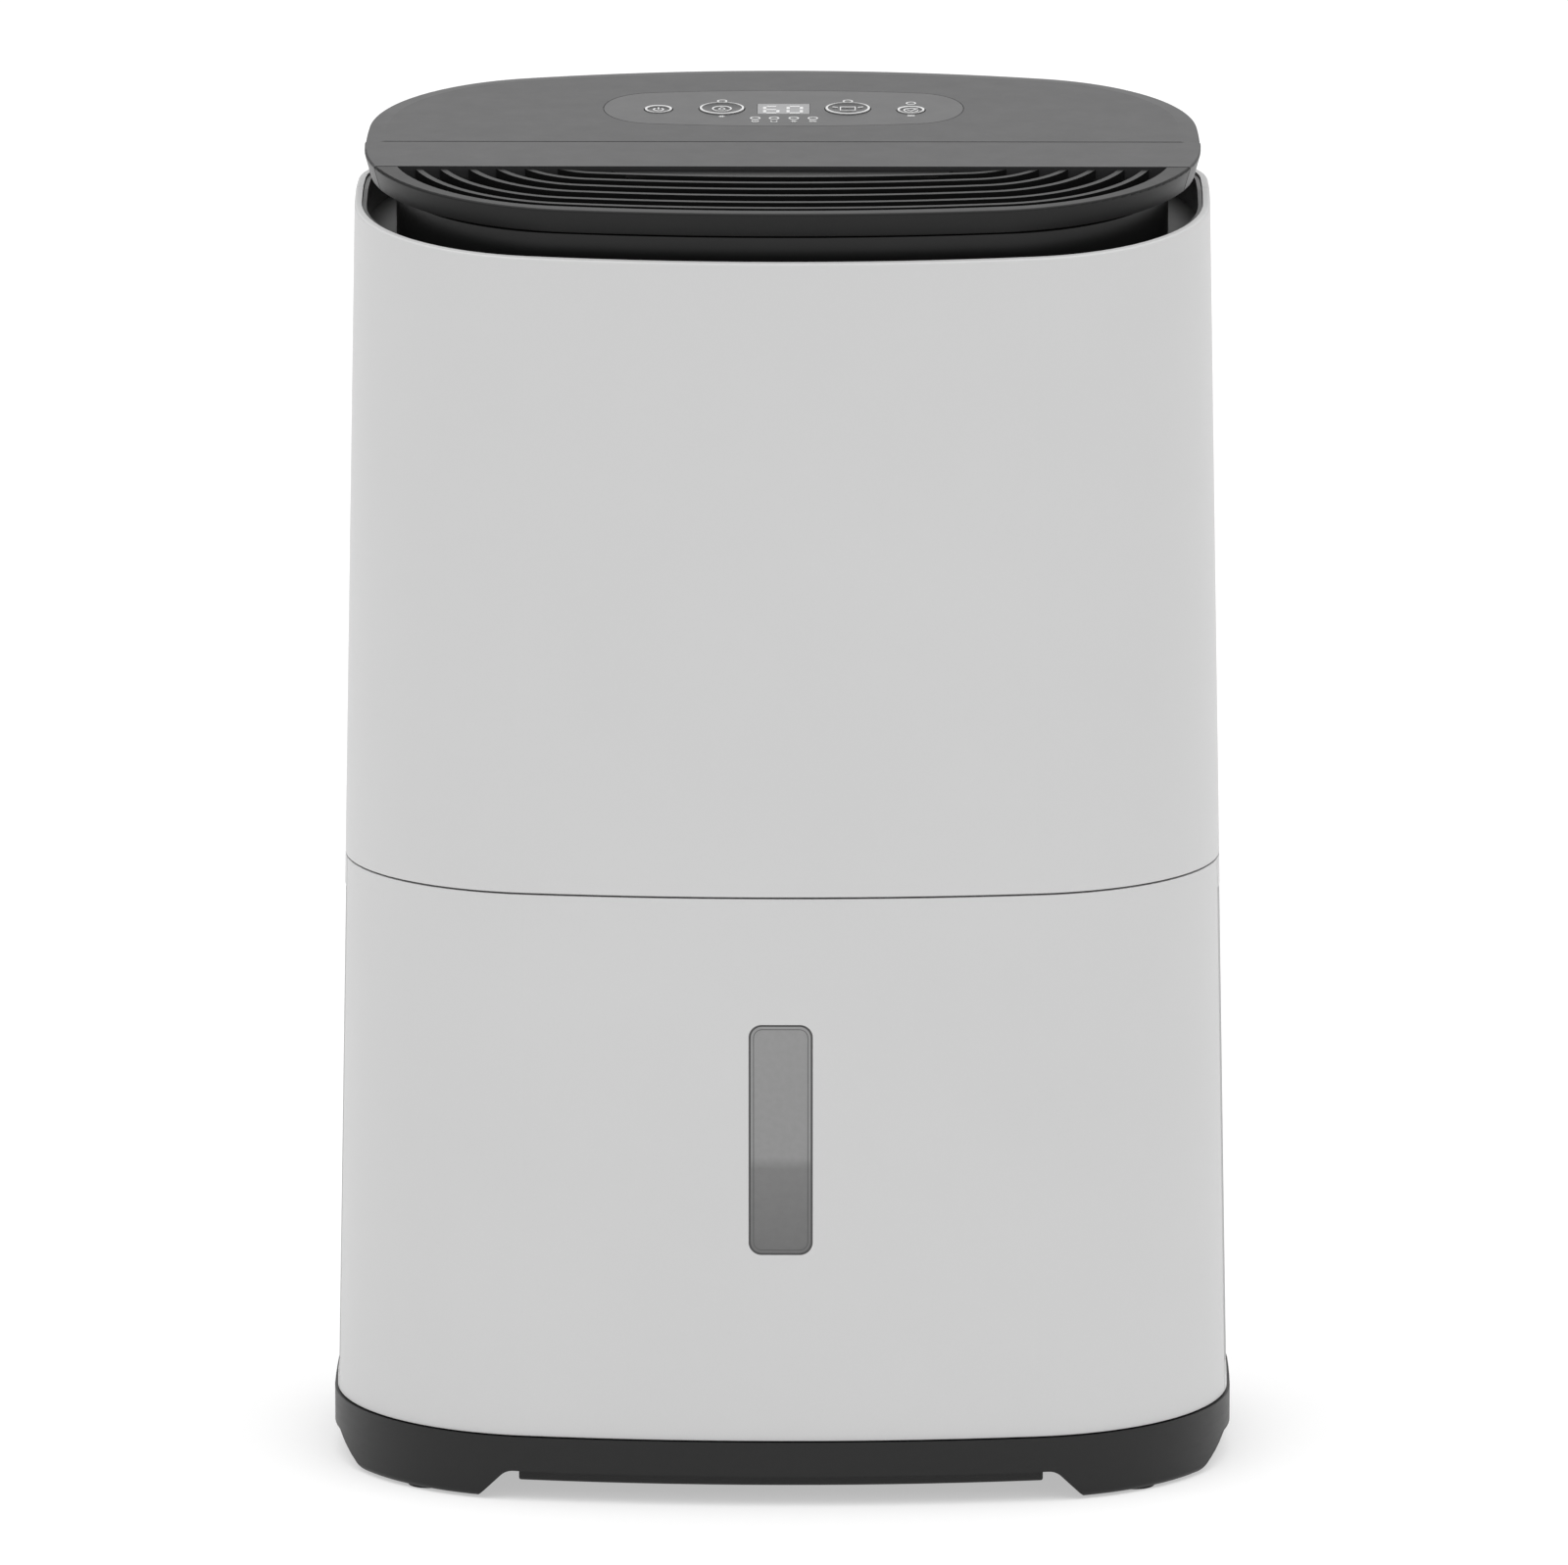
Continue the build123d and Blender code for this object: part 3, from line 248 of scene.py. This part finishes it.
def plastics():
    """Slot name to material for all the plastics and rubbers."""
    white = moulded("white_casing", (0.62, 0.62, 0.62), 0.42, 1500.0, 0.012, 9.0, 0.010)
    door = moulded("door_plastic", (0.61, 0.61, 0.61), 0.46, 1500.0, 0.014, 11.0, 0.014)
    lid = moulded("lid_grey", (0.040, 0.040, 0.041), 0.40, 1900.0, 0.010, 14.0, 0.02)
    overlay = moulded("overlay_grey", (0.052, 0.052, 0.053), 0.34, 2600.0, 0.003, 20.0, 0.02)
    button = moulded("button_grey", (0.030, 0.030, 0.031), 0.30, 2400.0, 0.003, 60.0, 0.04)
    grille = moulded("grille_black", (0.009, 0.009, 0.009), 0.35, 1700.0, 0.012, 16.0, 0.05, 0.26)
    trim = moulded("trim_black", (0.010, 0.010, 0.010), 0.34, 1500.0, 0.010, 16.0, 0.05, 0.30)
    base = moulded("base_black", (0.010, 0.010, 0.010), 0.44, 1300.0, 0.018, 14.0, 0.06, 0.36)
    inner = moulded("frame_grey", (0.33, 0.34, 0.35), 0.50, 900.0, 0.030, 12.0, 0.05)
    rubber = moulded("foot_rubber", (0.018, 0.018, 0.019), 0.72, 700.0, 0.060, 40.0, 0.15, 0.3)
    grey = moulded("tank_grey", (0.16, 0.165, 0.17), 0.45, 1000.0, 0.030, 14.0, 0.05)
    fan = moulded("fan_plastic", (0.06, 0.06, 0.065), 0.48, 900.0, 0.030, 20.0, 0.08)
    holder = moulded("filter_frame_grey", (0.09, 0.09, 0.095), 0.50, 900.0, 0.030, 20.0, 0.06)
    dark = moulded("dark_parts", (0.035, 0.035, 0.04), 0.35, 1100.0, 0.015, 40.0, 0.10)
    found = (white, door, lid, overlay, button, grille, trim, base, inner, rubber, grey, fan, holder, dark)
    return {made.name: made.material for made in found}


def window_material():
    """Smoked window: the tank's dry part shows paler behind it than the part below the water line."""
    made = Recipe("window_clear", (0.3, 0.3, 0.3), 0.16, specular=0.5)
    low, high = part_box("water_window")
    wave = made.remap(made.noise(140.0, 3.0), 0.0, 1.0, -0.0012, 0.0012)
    height = made.math("ADD", made.axis(2), wave)
    share = made.remap(height, low.z, high.z, 0.0, 1.0)
    levels = ((0.0, 0.137), (0.10, 0.148), (0.375, 0.178), (0.425, 0.262), (1.0, 0.277))
    tone = made.ramp(share, [(height_share, (grey,) * 3) for height_share, grey in levels])
    haze = made.ramp(made.noise(420.0, 3.0), [(0.3, (0.95,) * 3), (0.7, (1.0,) * 3)])
    made.colour(made.blend("MULTIPLY", 1.0, tone, haze))
    made.roughness(made.remap(made.noise(60.0, 4.0), 0.3, 0.7, 0.12, 0.24))
    made.bump(made.noise(900.0, 2.0), 0.004 * MM)
    return made


def frosted_material():
    """Translucent tank plastic with flow marks."""
    colour = (0.60, 0.635, 0.66)
    made = Recipe("tank_frosted", colour, 0.38)
    flow = made.noise(26.0, 4.0, 0.6, made.stretched((1.0, 1.0, 0.35)), 1.2)
    made.colour(made.ramp(flow, [(0.3, shade(colour, 0.93)), (0.7, shade(colour, 1.04))]))
    made.roughness(made.remap(made.noise(240.0, 4.0), 0.3, 0.7, 0.30, 0.46))
    made.shader.inputs["Transmission Weight"].default_value = 0.35
    made.shader.inputs["IOR"].default_value = 1.49
    made.bump(made.noise(800.0, 2.0), 0.02 * MM)
    return made


def foam_material():
    colour = (0.74, 0.73, 0.69)
    made = Recipe("float_foam", colour, 0.85, specular=0.2)
    cell = made.cells(900.0)
    made.colour(made.ramp(cell, [(0.1, shade(colour, 0.80)), (0.6, colour)]))
    made.roughness(made.remap(cell, 0.0, 0.7, 0.95, 0.75))
    made.bump(cell, 0.25 * MM)
    return made


def lamp_material():
    """Frosted light guides with a fine random grain."""
    colour = (0.10, 0.10, 0.10)
    made = Recipe("lamp_clear", colour, 0.35)
    grain = made.noise(1500.0, 3.0)
    made.colour(made.ramp(grain, [(0.3, shade(colour, 0.8)), (0.7, shade(colour, 1.15))]))
    made.roughness(made.remap(grain, 0.3, 0.7, 0.28, 0.45))
    made.bump(grain, 0.01 * MM)
    return made


def display_material():
    """Smoked lens over a faintly lit field, with a fine dot raster."""
    colour = (0.25, 0.25, 0.255)
    made = Recipe("display_dark", colour, 0.22)
    dots = made.cells(1400.0)
    cloud = made.noise(120.0, 3.0)
    tone = made.ramp(cloud, [(0.3, shade(colour, 0.9)), (0.7, shade(colour, 1.1))])
    made.colour(made.blend("MULTIPLY", 1.0, tone, made.ramp(dots, [(0.1, (0.86,) * 3), (0.5, (1.0,) * 3)])))
    made.roughness(made.remap(cloud, 0.3, 0.7, 0.18, 0.28))
    made.bump(dots, 0.003 * MM)
    return made


def print_material():
    """Pale ink, slightly broken at its edges."""
    colour = (0.70, 0.70, 0.70)
    made = Recipe("print_pale", colour, 0.5)
    ink = made.noise(2600.0, 4.0, 0.7)
    made.colour(made.ramp(ink, [(0.25, shade(colour, 0.75)), (0.6, shade(colour, 1.1))]))
    made.roughness(made.remap(ink, 0.3, 0.7, 0.42, 0.6))
    made.bump(ink, 0.008 * MM)
    return made


def metal(name, colour, rough, grain, stretch, depth=0.01, metallic=1.0, vary=0.12):
    """Metal with drawn or brushed marks, dulled in patches."""
    made = Recipe(name, colour, rough, metallic)
    streak = made.noise(grain, 5.0, 0.7, made.stretched(stretch))
    patches = made.noise(35.0, 4.0, 0.6)
    tone = made.ramp(streak, [(0.25, shade(colour, 1 - vary)), (0.75, shade(colour, 1 + vary / 2))])
    dull = made.ramp(patches, [(0.35, (1 - vary,) * 3), (0.6, (1.0,) * 3)])
    made.colour(made.blend("MULTIPLY", 1.0, tone, dull))
    made.roughness(made.remap(made.math("ADD", streak, patches), 0.6, 1.4, rough - 0.08, rough + 0.12))
    made.bump(streak, depth * MM)
    return made


def board_material():
    """Solder mask over copper tracks and small solder points."""
    made = Recipe("board_green", (0.02, 0.12, 0.05), 0.35)
    wave = made.node("ShaderNodeTexWave", wave_type="BANDS", bands_direction="DIAGONAL")
    wave.inputs["Scale"].default_value = 110.0
    wave.inputs["Distortion"].default_value = 9.0
    wave.inputs["Detail"].default_value = 1.0
    made.link(made.place, wave.inputs["Vector"])
    tracks = made.ramp(wave.outputs["Fac"], [(0.45, (0.012, 0.085, 0.035)), (0.55, (0.03, 0.17, 0.07))])
    points = made.ramp(made.cells(320.0), [(0.16, (0.62, 0.62, 0.60)), (0.20, (0.0, 0.0, 0.0))])
    made.colour(made.blend("LIGHTEN", 1.0, tracks, points))
    made.roughness(made.remap(wave.outputs["Fac"], 0.4, 0.6, 0.30, 0.42))
    made.bump(wave.outputs["Fac"], 0.03 * MM)
    return made


def nylon_material():
    made = Recipe("filter_black", (0.02, 0.02, 0.02), 0.55)
    thread = made.noise(1600.0, 3.0)
    made.colour(made.ramp(thread, [(0.3, (0.014,) * 3), (0.7, (0.032,) * 3)]))
    made.roughness(made.remap(thread, 0.3, 0.7, 0.45, 0.65))
    made.bump(thread, 0.02 * MM)
    return made


def all_materials():
    found = plastics()
    metals = (
        metal("steel", (0.55, 0.55, 0.56), 0.32, 300.0, (1.0, 1.0, 7.0)),
        metal("motor_steel", (0.36, 0.37, 0.39), 0.42, 220.0, (6.0, 1.0, 1.0), 0.02, 0.9),
        metal("compressor_black", (0.022, 0.022, 0.022), 0.34, 60.0, (1.0, 1.0, 1.0), 0.08, 0.0, 0.3),
        metal("copper_pipe", (0.72, 0.36, 0.22), 0.30, 160.0, (1.0, 5.0, 5.0), 0.008, 1.0, 0.22),
        metal("fin_aluminium", (0.66, 0.67, 0.69), 0.36, 420.0, (1.0, 6.0, 0.6), 0.012, 1.0, 0.15),
    )
    special = (
        window_material(), frosted_material(), foam_material(), lamp_material(),
        display_material(), board_material(), nylon_material(),
    )
    for made in (*metals, *special):
        found[made.name] = made.material
    return found


materials = all_materials()
PRINT = print_material().material
# The rim liner gets a brighter copy of the black trim: painted reflected light on the trough's walls.
LINER_PAINTED_SHEEN = moulded("liner_painted_reflection", (0.085, 0.085, 0.085), 0.40, 1500.0, 0.010, 16.0, 0.05)
for subpart in frame["record"]["subparts"]:
    target = nodes[subpart["node"]].data
    target.materials.clear()
    target.materials.append(materials[subpart["material_slot"]])
# The liner wears this painted-reflection copy in place of its trim_black slot.
nodes["rim_liner"].data.materials[0] = LINER_PAINTED_SHEEN.material


# Building pieces


def piece(name, mesh, material, body):
    """Put a finished mesh in the scene, riding on a body."""
    made = bpy.data.objects.new(name, mesh)
    bpy.context.scene.collection.objects.link(made)
    mesh.materials.clear()
    mesh.materials.append(material)
    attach(made, body)
    return made


def mesh_of(name, verts, faces, smooth=False):
    mesh = bpy.data.meshes.new(name)
    mesh.from_pydata(verts, [], faces)
    mesh.validate()
    if smooth:
        mesh.polygons.foreach_set("use_smooth", [True] * len(mesh.polygons))
    mesh.update()
    return mesh


def arc(x, y, radius, start, end, steps=24):
    """Points on an arc, angles in degrees."""
    turn = [math.radians(start + (end - start) * i / steps) for i in range(steps + 1)]
    return [(x + radius * math.cos(a), y + radius * math.sin(a)) for a in turn]


def ribbon(points, width, closed=False):
    """Left and right edge points of a stroke along a line in a plane."""
    count = len(points)
    edges = []
    for i, (x, y) in enumerate(points):
        before = points[i - 1] if i or closed else points[i]
        after = points[(i + 1) % count] if i < count - 1 or closed else points[i]
        dx, dy = after[0] - before[0], after[1] - before[1]
        length = math.hypot(dx, dy) or 1.0
        nx, ny = -dy / length * width / 2, dx / length * width / 2
        edges.append(((x + nx, y + ny), (x - nx, y - ny)))
    return edges


CAST_FROM = 4.0
WINDOW_CORNER = 5.0


def on_front(x, z, y=0.0):
    """Point x, z mm in the front plane, y mm out from the window's face."""
    return Vector((x * MM, FRONT_Y - y * MM, z * MM))


def printed(
    name, strokes, surfaces, body,
    lift=0.12, thick=0.16, place=on_lid, out=LID_N, material=PRINT,
):
    """Strokes laid on the surfaces below them; a stroke is (points, width, closed)."""
    verts, faces = [], []
    for points, width, closed in strokes:
        first = len(verts)
        edges = ribbon(points, width, closed)
        for pair in edges:
            for x, y in pair:
                spot = place(x, y, CAST_FROM)
                hits = [surface.ray_cast(spot, -out, 0.02) for surface in surfaces]
                distances = [hit[3] for hit in hits if hit[0] is not None]
                ground = spot - out * (min(distances) if distances else CAST_FROM * MM)
                verts.append(ground + out * lift * MM)
                verts.append(ground + out * (lift - thick) * MM)
        count = len(edges)
        for i in range(count if closed else count - 1):
            a = first + 4 * i
            b = first + 4 * ((i + 1) % count)
            faces += [(a, a + 2, b + 2, b), (a + 1, b + 1, b + 3, a + 3)]
            faces += [(a, b, b + 1, a + 1), (a + 2, a + 3, b + 3, b + 2)]
        if not closed:
            last = first + 4 * (count - 1)
            faces += [(first, first + 1, first + 3, first + 2), (last, last + 2, last + 3, last + 1)]
    mesh = mesh_of(name, verts, faces)
    shape = bmesh.new()
    shape.from_mesh(mesh)
    bmesh.ops.recalc_face_normals(shape, faces=shape.faces)
    shape.to_mesh(mesh)
    shape.free()
    return piece(name, mesh, material, body)


def circle(x, y, radius, width=0.45, steps=48):
    return arc(x, y, radius, 0, 360, steps)[:-1], width, True


def line(*points, width=0.42):
    return list(points), width, False


# Printed marks


def power_icon(x, y):
    return [(arc(x, y, 1.9, 125, 415, 30), 0.65, False), line((x, y + 0.5), (x, y + 2.6), width=0.65)]


def droplet_icon(x, y):
    """Circle with a drop inside."""
    drop = [(x, y + 2.1), (x - 0.75, y + 0.9), *arc(x, y - 0.1, 1.15, 150, 390, 18), (x + 0.75, y + 0.9)]
    return [circle(x, y, 3.6, 0.62), (drop, 0.45, True)]


def target_icon(x, y):
    """Square with a level line to each side."""
    square = [(x - 2.9, y - 2.6), (x + 2.9, y - 2.6), (x + 2.9, y + 2.6), (x - 2.9, y + 2.6)]
    wings = [line((x + s * 3.9, y + 1.8), (x + s * 6.0, y + 1.8), width=0.7) for s in (-1, 1)]
    return [(square, 0.65, True), *wings]


def clock_icon(x, y):
    tick = line((x - 1.5, y + 0.9), (x, y - 0.7), (x + 2.6, y + 2.2), width=0.6)
    return [(arc(x, y, 2.7, 40, 360, 30), 0.6, False), tick]


def small_icon(kind, x, y):
    """One of four tiny marks under the display's lamps."""
    if kind == 0:
        return [circle(x, y, 1.25, 0.42, 20), line((x - 0.5, y), (x + 0.6, y + 0.5), width=0.4)]
    if kind == 1:
        cup = ((x - 1.1, y + 0.9), (x - 1.1, y - 1.0), (x + 1.1, y - 1.0), (x + 1.1, y + 0.9))
        return [line(*cup, width=0.45)]
    if kind == 2:
        star = [(math.cos(math.radians(a)) * 1.25, math.sin(math.radians(a)) * 1.25) for a in (0, 60, 120)]
        return [line((x - dx, y - dy), (x + dx, y + dy), width=0.42) for dx, dy in star]
    waves = []
    for row in (-0.8, 0.1, 1.0):
        points = [(x - 1.4 + 0.35 * i, y + row + 0.22 * math.sin(i * 1.6)) for i in range(9)]
        waves.append(line(*points, width=0.36))
    return waves


def printed_buttons():
    icons = {"power": power_icon, "mode": droplet_icon, "humidity": target_icon, "timer": clock_icon}
    for name, icon in icons.items():
        node = f"button_{name}"
        low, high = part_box(node)
        x, y = lid_place(centre(node))
        radius = (high.x - low.x) / 2 / MM - 0.6
        strokes = [circle(x, y, radius - 0.55, 0.85, 72), *icon(x, y)]
        printed(f"print_{name}", strokes, [surface_of(node)], f"{name}_button", 0.3, 0.36)


def printed_panel():
    """Rings round the lamps and the tiny marks beside them."""
    lamps = [lid_place(spot) for spot in solid_middles("indicator_lights")]
    strokes = [circle(x, y, 1.75, 0.62, 32) for x, y in lamps]
    lower = sorted(lamp for lamp in lamps if lamp[1] < -2)
    for kind, (x, y) in enumerate(lower):
        strokes += small_icon(kind % 4, x, y - 4.4)
    for node, kind in (("button_mode", 2), ("button_timer", 3)):
        low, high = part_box(node)
        x, y = lid_place(centre(node))
        strokes += small_icon(kind, x, y - (high.x - low.x) / 2 / MM - 2.2)
    grounds = [surface_of("control_overlay"), surface_of("indicator_lights")]
    printed("print_panel", strokes, grounds, "casing")


def digit(value, x, y, width, height, thick):
    """Seven-segment digit, lower left corner at x, y."""
    lit = {6: "acdefg", 0: "abcdef"}[value]
    left, right, low, mid, top = x, x + width, y, y + height / 2, y + height
    gap = thick * 0.55
    ends = {
        "a": ((left + gap, top), (right - gap, top)),
        "b": ((right, mid + gap), (right, top - gap)),
        "c": ((right, low + gap), (right, mid - gap)),
        "d": ((left + gap, low), (right - gap, low)),
        "e": ((left, low + gap), (left, mid - gap)),
        "f": ((left, mid + gap), (left, top - gap)),
        "g": ((left + gap, mid), (right - gap, mid)),
    }
    return [line(*ends[name], width=thick) for name in lit]


def rounded(half_w, low, high, radius, steps=8):
    """Closed outline of a rectangle with round corners, about x = 0."""
    left, right = radius - half_w, half_w - radius
    bottom, top = low + radius, high - radius
    corners = ((right, top, 0), (left, top, 90), (left, bottom, 180), (right, bottom, 270))
    return [point for x, z, start in corners for point in arc(x, z, radius, start, start + 90, steps)]


def painted_window_shade_lines():
    """Painted shade lines on the window: a dark line where the gap and recess round its moulding fall in shade,
    and a dark line for the shaded bevel inside it.
    """
    low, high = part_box("water_window")
    half, bottom, top = (high.x - low.x) / 2 / MM, low.z / MM, high.z / MM
    face = [surface_of("water_window")]
    dark = moulded("window_gap_painted_shade", (0.055, 0.055, 0.055), 0.3, vary=0.06).material
    # Both strokes are painted shade, drawn as dark lines over the window's face.
    for name, inset, width in (("window_gap_painted_shade", 0.35, 0.55), ("window_bevel_painted_shade", 1.75, 0.25)):
        line_points = rounded(half - inset, bottom + inset, top - inset, WINDOW_CORNER - inset)
        dense = []
        for i, (x, z) in enumerate(line_points):
            nx, nz = line_points[(i + 1) % len(line_points)]
            parts = max(1, int(abs(nz - z) / 4), int(abs(nx - x) / 1.5))
            dense += [(x + (nx - x) * k / parts, z + (nz - z) * k / parts) for k in range(parts)]
        strokes = [(dense, width, True)]
        printed(name, strokes, face, "tank", 0.02, 0.05, on_front, Vector((0, -1, 0)), dark)


def printed_display():
    strokes = digit(6, -7.4, -6.2, 5.2, 9.6, 1.25) + digit(0, 1.8, -6.2, 5.2, 9.6, 1.25)
    printed("display_digits", strokes, [surface_of("display_lens")], "casing", 0.08, 0.12)


printed_buttons()
printed_panel()
printed_display()
# Dark lines of painted shade round the window and along its bevel.
painted_window_shade_lines()


# Finer works behind the inlet


def filter_weave():
    """Woven nylon screen in place of the filter's plain sheet."""
    low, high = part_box("filter_mesh")
    y = (low.y + high.y) / 2
    pitch, half = 2.0 * MM, 0.17 * MM
    verts, faces = [], []

    def strand(points):
        first = len(verts)
        for x, depth, z, across_x in points:
            dx, dz = (half, 0.0) if across_x else (0.0, half)
            for sx, sy in ((-1, -1), (1, -1), (1, 1), (-1, 1)):
                verts.append((x + sx * dx, y + depth + sy * half * 0.6, z + sx * dz))
        for i in range(len(points) - 1):
            a, b = first + 4 * i, first + 4 * (i + 1)
            faces.extend((a + k, a + (k + 1) % 4, b + (k + 1) % 4, b + k) for k in range(4))
        end = first + 4 * (len(points) - 1)
        faces.extend([(first + 3, first + 2, first + 1, first), (end, end + 1, end + 2, end + 3)])

    columns = int((high.x - low.x) / pitch)
    rows = int((high.z - low.z) / pitch)
    swing = 0.10 * MM
    for i in range(columns + 1):
        x = low.x + half + (high.x - low.x - 2 * half) * i / columns
        up = [low.z + (high.z - low.z) * j / rows for j in range(rows + 1)]
        strand([(x, swing * (-1) ** (i + j), z, True) for j, z in enumerate(up)])
    for j in range(rows + 1):
        z = low.z + half + (high.z - low.z - 2 * half) * j / rows
        across = [low.x + (high.x - low.x) * i / columns for i in range(columns + 1)]
        strand([(x, -swing * (-1) ** (i + j), z, False) for i, x in enumerate(across)])
    mesh = mesh_of("filter_weave", verts, faces)
    made = piece("filter_weave", mesh, materials["filter_black"], "filter_door")
    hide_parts("filter_mesh")


FIN_COUNT = 94


def close_fins(node, name):
    """Fin stock at its real pitch, in place of the coil's few plates."""
    low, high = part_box(node)
    shape = bmesh.new()
    shape.from_mesh(nodes[node].data)
    bmesh.ops.delete(shape, geom=[v for v in shape.verts if v.co.x > low.x + 1.5 * MM], context="VERTS")
    bmesh.ops.remove_doubles(shape, verts=shape.verts, dist=1e-6)
    for vertex in shape.verts:
        vertex.co.x = low.x + (vertex.co.x - low.x) * 0.3
    plate = bpy.data.meshes.new(name)
    shape.to_mesh(plate)
    shape.free()
    coords = [v.co.copy() for v in plate.vertices]
    loops = [tuple(p.vertices) for p in plate.polygons]
    pitch = (high.x - low.x - 0.2 * MM) / (FIN_COUNT - 1)
    verts, faces = [], []
    for i in range(FIN_COUNT):
        first = len(verts)
        verts += [co + Vector((pitch * i, 0, 0)) for co in coords]
        faces += [tuple(first + k for k in loop) for loop in loops]
    mesh = mesh_of(name + "_all", verts, faces)
    made = piece(name, mesh, materials["fin_aluminium"], "casing")
    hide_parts(node)


filter_weave()
close_fins("evaporator_fins", "evaporator_fin_stack")
close_fins("condenser_fins", "condenser_fin_stack")


# Stage, light and camera


def floor():
    """Large pale disc under the object."""
    rings, steps = (0.0, 0.5, 1.5, 4.0, 12.0, 40.0), 96
    verts = [(0, 0, 0)]
    faces = []
    for ring in rings[1:]:
        for i in range(steps):
            turn = 2 * math.pi * i / steps
            verts.append((ring * math.cos(turn), ring * math.sin(turn), 0))
    for i in range(steps):
        faces.append((0, 1 + i, 1 + (i + 1) % steps))
    for k in range(len(rings) - 2):
        a, b = 1 + k * steps, 1 + (k + 1) * steps
        faces += [(a + i, b + i, b + (i + 1) % steps, a + (i + 1) % steps) for i in range(steps)]
    made = Recipe("floor_pale", (0.55, 0.55, 0.55), 0.9, specular=0.0)
    made.colour(made.ramp(made.noise(3.0, 3.0), [(0.3, (0.54,) * 3), (0.7, (0.56,) * 3)]))
    made.bump(made.noise(60.0, 3.0), 0.05 * MM)
    made.shader.inputs["Emission Color"].default_value = (1, 1, 1, 1)
    made.shader.inputs["Emission Strength"].default_value = 0.46
    ground = bpy.data.objects.new("floor", mesh_of("floor", verts, faces))
    ground.data.materials.append(made.material)
    bpy.context.scene.collection.objects.link(ground)


def sun(name, direction, strength, angle):
    lamp = bpy.data.lights.new(name, "SUN")
    lamp.energy = strength
    lamp.angle = math.radians(angle)
    made = bpy.data.objects.new(name, lamp)
    made.rotation_mode = "QUATERNION"
    made.rotation_quaternion = Vector(direction).to_track_quat("-Z", "Y")
    bpy.context.scene.collection.objects.link(made)


def lights():
    world = bpy.data.worlds.new("studio")
    world.use_nodes = True
    tree = world.node_tree
    background = tree.nodes["Background"]
    background.inputs["Strength"].default_value = 0.68
    split = tree.nodes.new("ShaderNodeSeparateXYZ")
    tree.links.new(tree.nodes.new("ShaderNodeTexCoord").outputs["Generated"], split.inputs[0])
    ramp = tree.nodes.new("ShaderNodeValToRGB")
    tree.links.new(split.outputs[2], ramp.inputs["Fac"])
    ramp.color_ramp.elements[0].position = 0.10
    ramp.color_ramp.elements[0].color = (0.5, 0.5, 0.5, 1)
    ramp.color_ramp.elements[1].position = 0.34
    ramp.color_ramp.elements[1].color = (1, 1, 1, 1)
    tree.links.new(ramp.outputs["Color"], background.inputs["Color"])
    bpy.context.scene.world = world
    sun("overhead", (0.0, 0.10, -1.0), 1.3, 70)
    sun("left", (0.75, 0.45, -0.9), 0.22, 50)
    sun("right", (-0.75, 0.45, -0.9), 0.22, 50)
    sun("behind", (0.0, -0.9, -0.46), 0.145, 45)


def camera():
    made = bpy.data.objects.new("camera", bpy.data.cameras.new("camera"))
    made.data.sensor_width = 36.0
    made.data.lens = 337.5
    made.data.dof.use_dof = False
    made.data.clip_end = 100.0
    made.location = (0.039, -5.658, 1.4203)
    aim = Vector((0.0005, 0.0, 0.263))
    made.rotation_mode = "QUATERNION"
    made.rotation_quaternion = (aim - made.location).to_track_quat("-Z", "Y")
    bpy.context.scene.collection.objects.link(made)
    bpy.context.scene.camera = made


floor()
lights()
camera()
bpy.context.scene.view_settings.view_transform = "Standard"
bpy.context.scene.view_settings.look = "None"
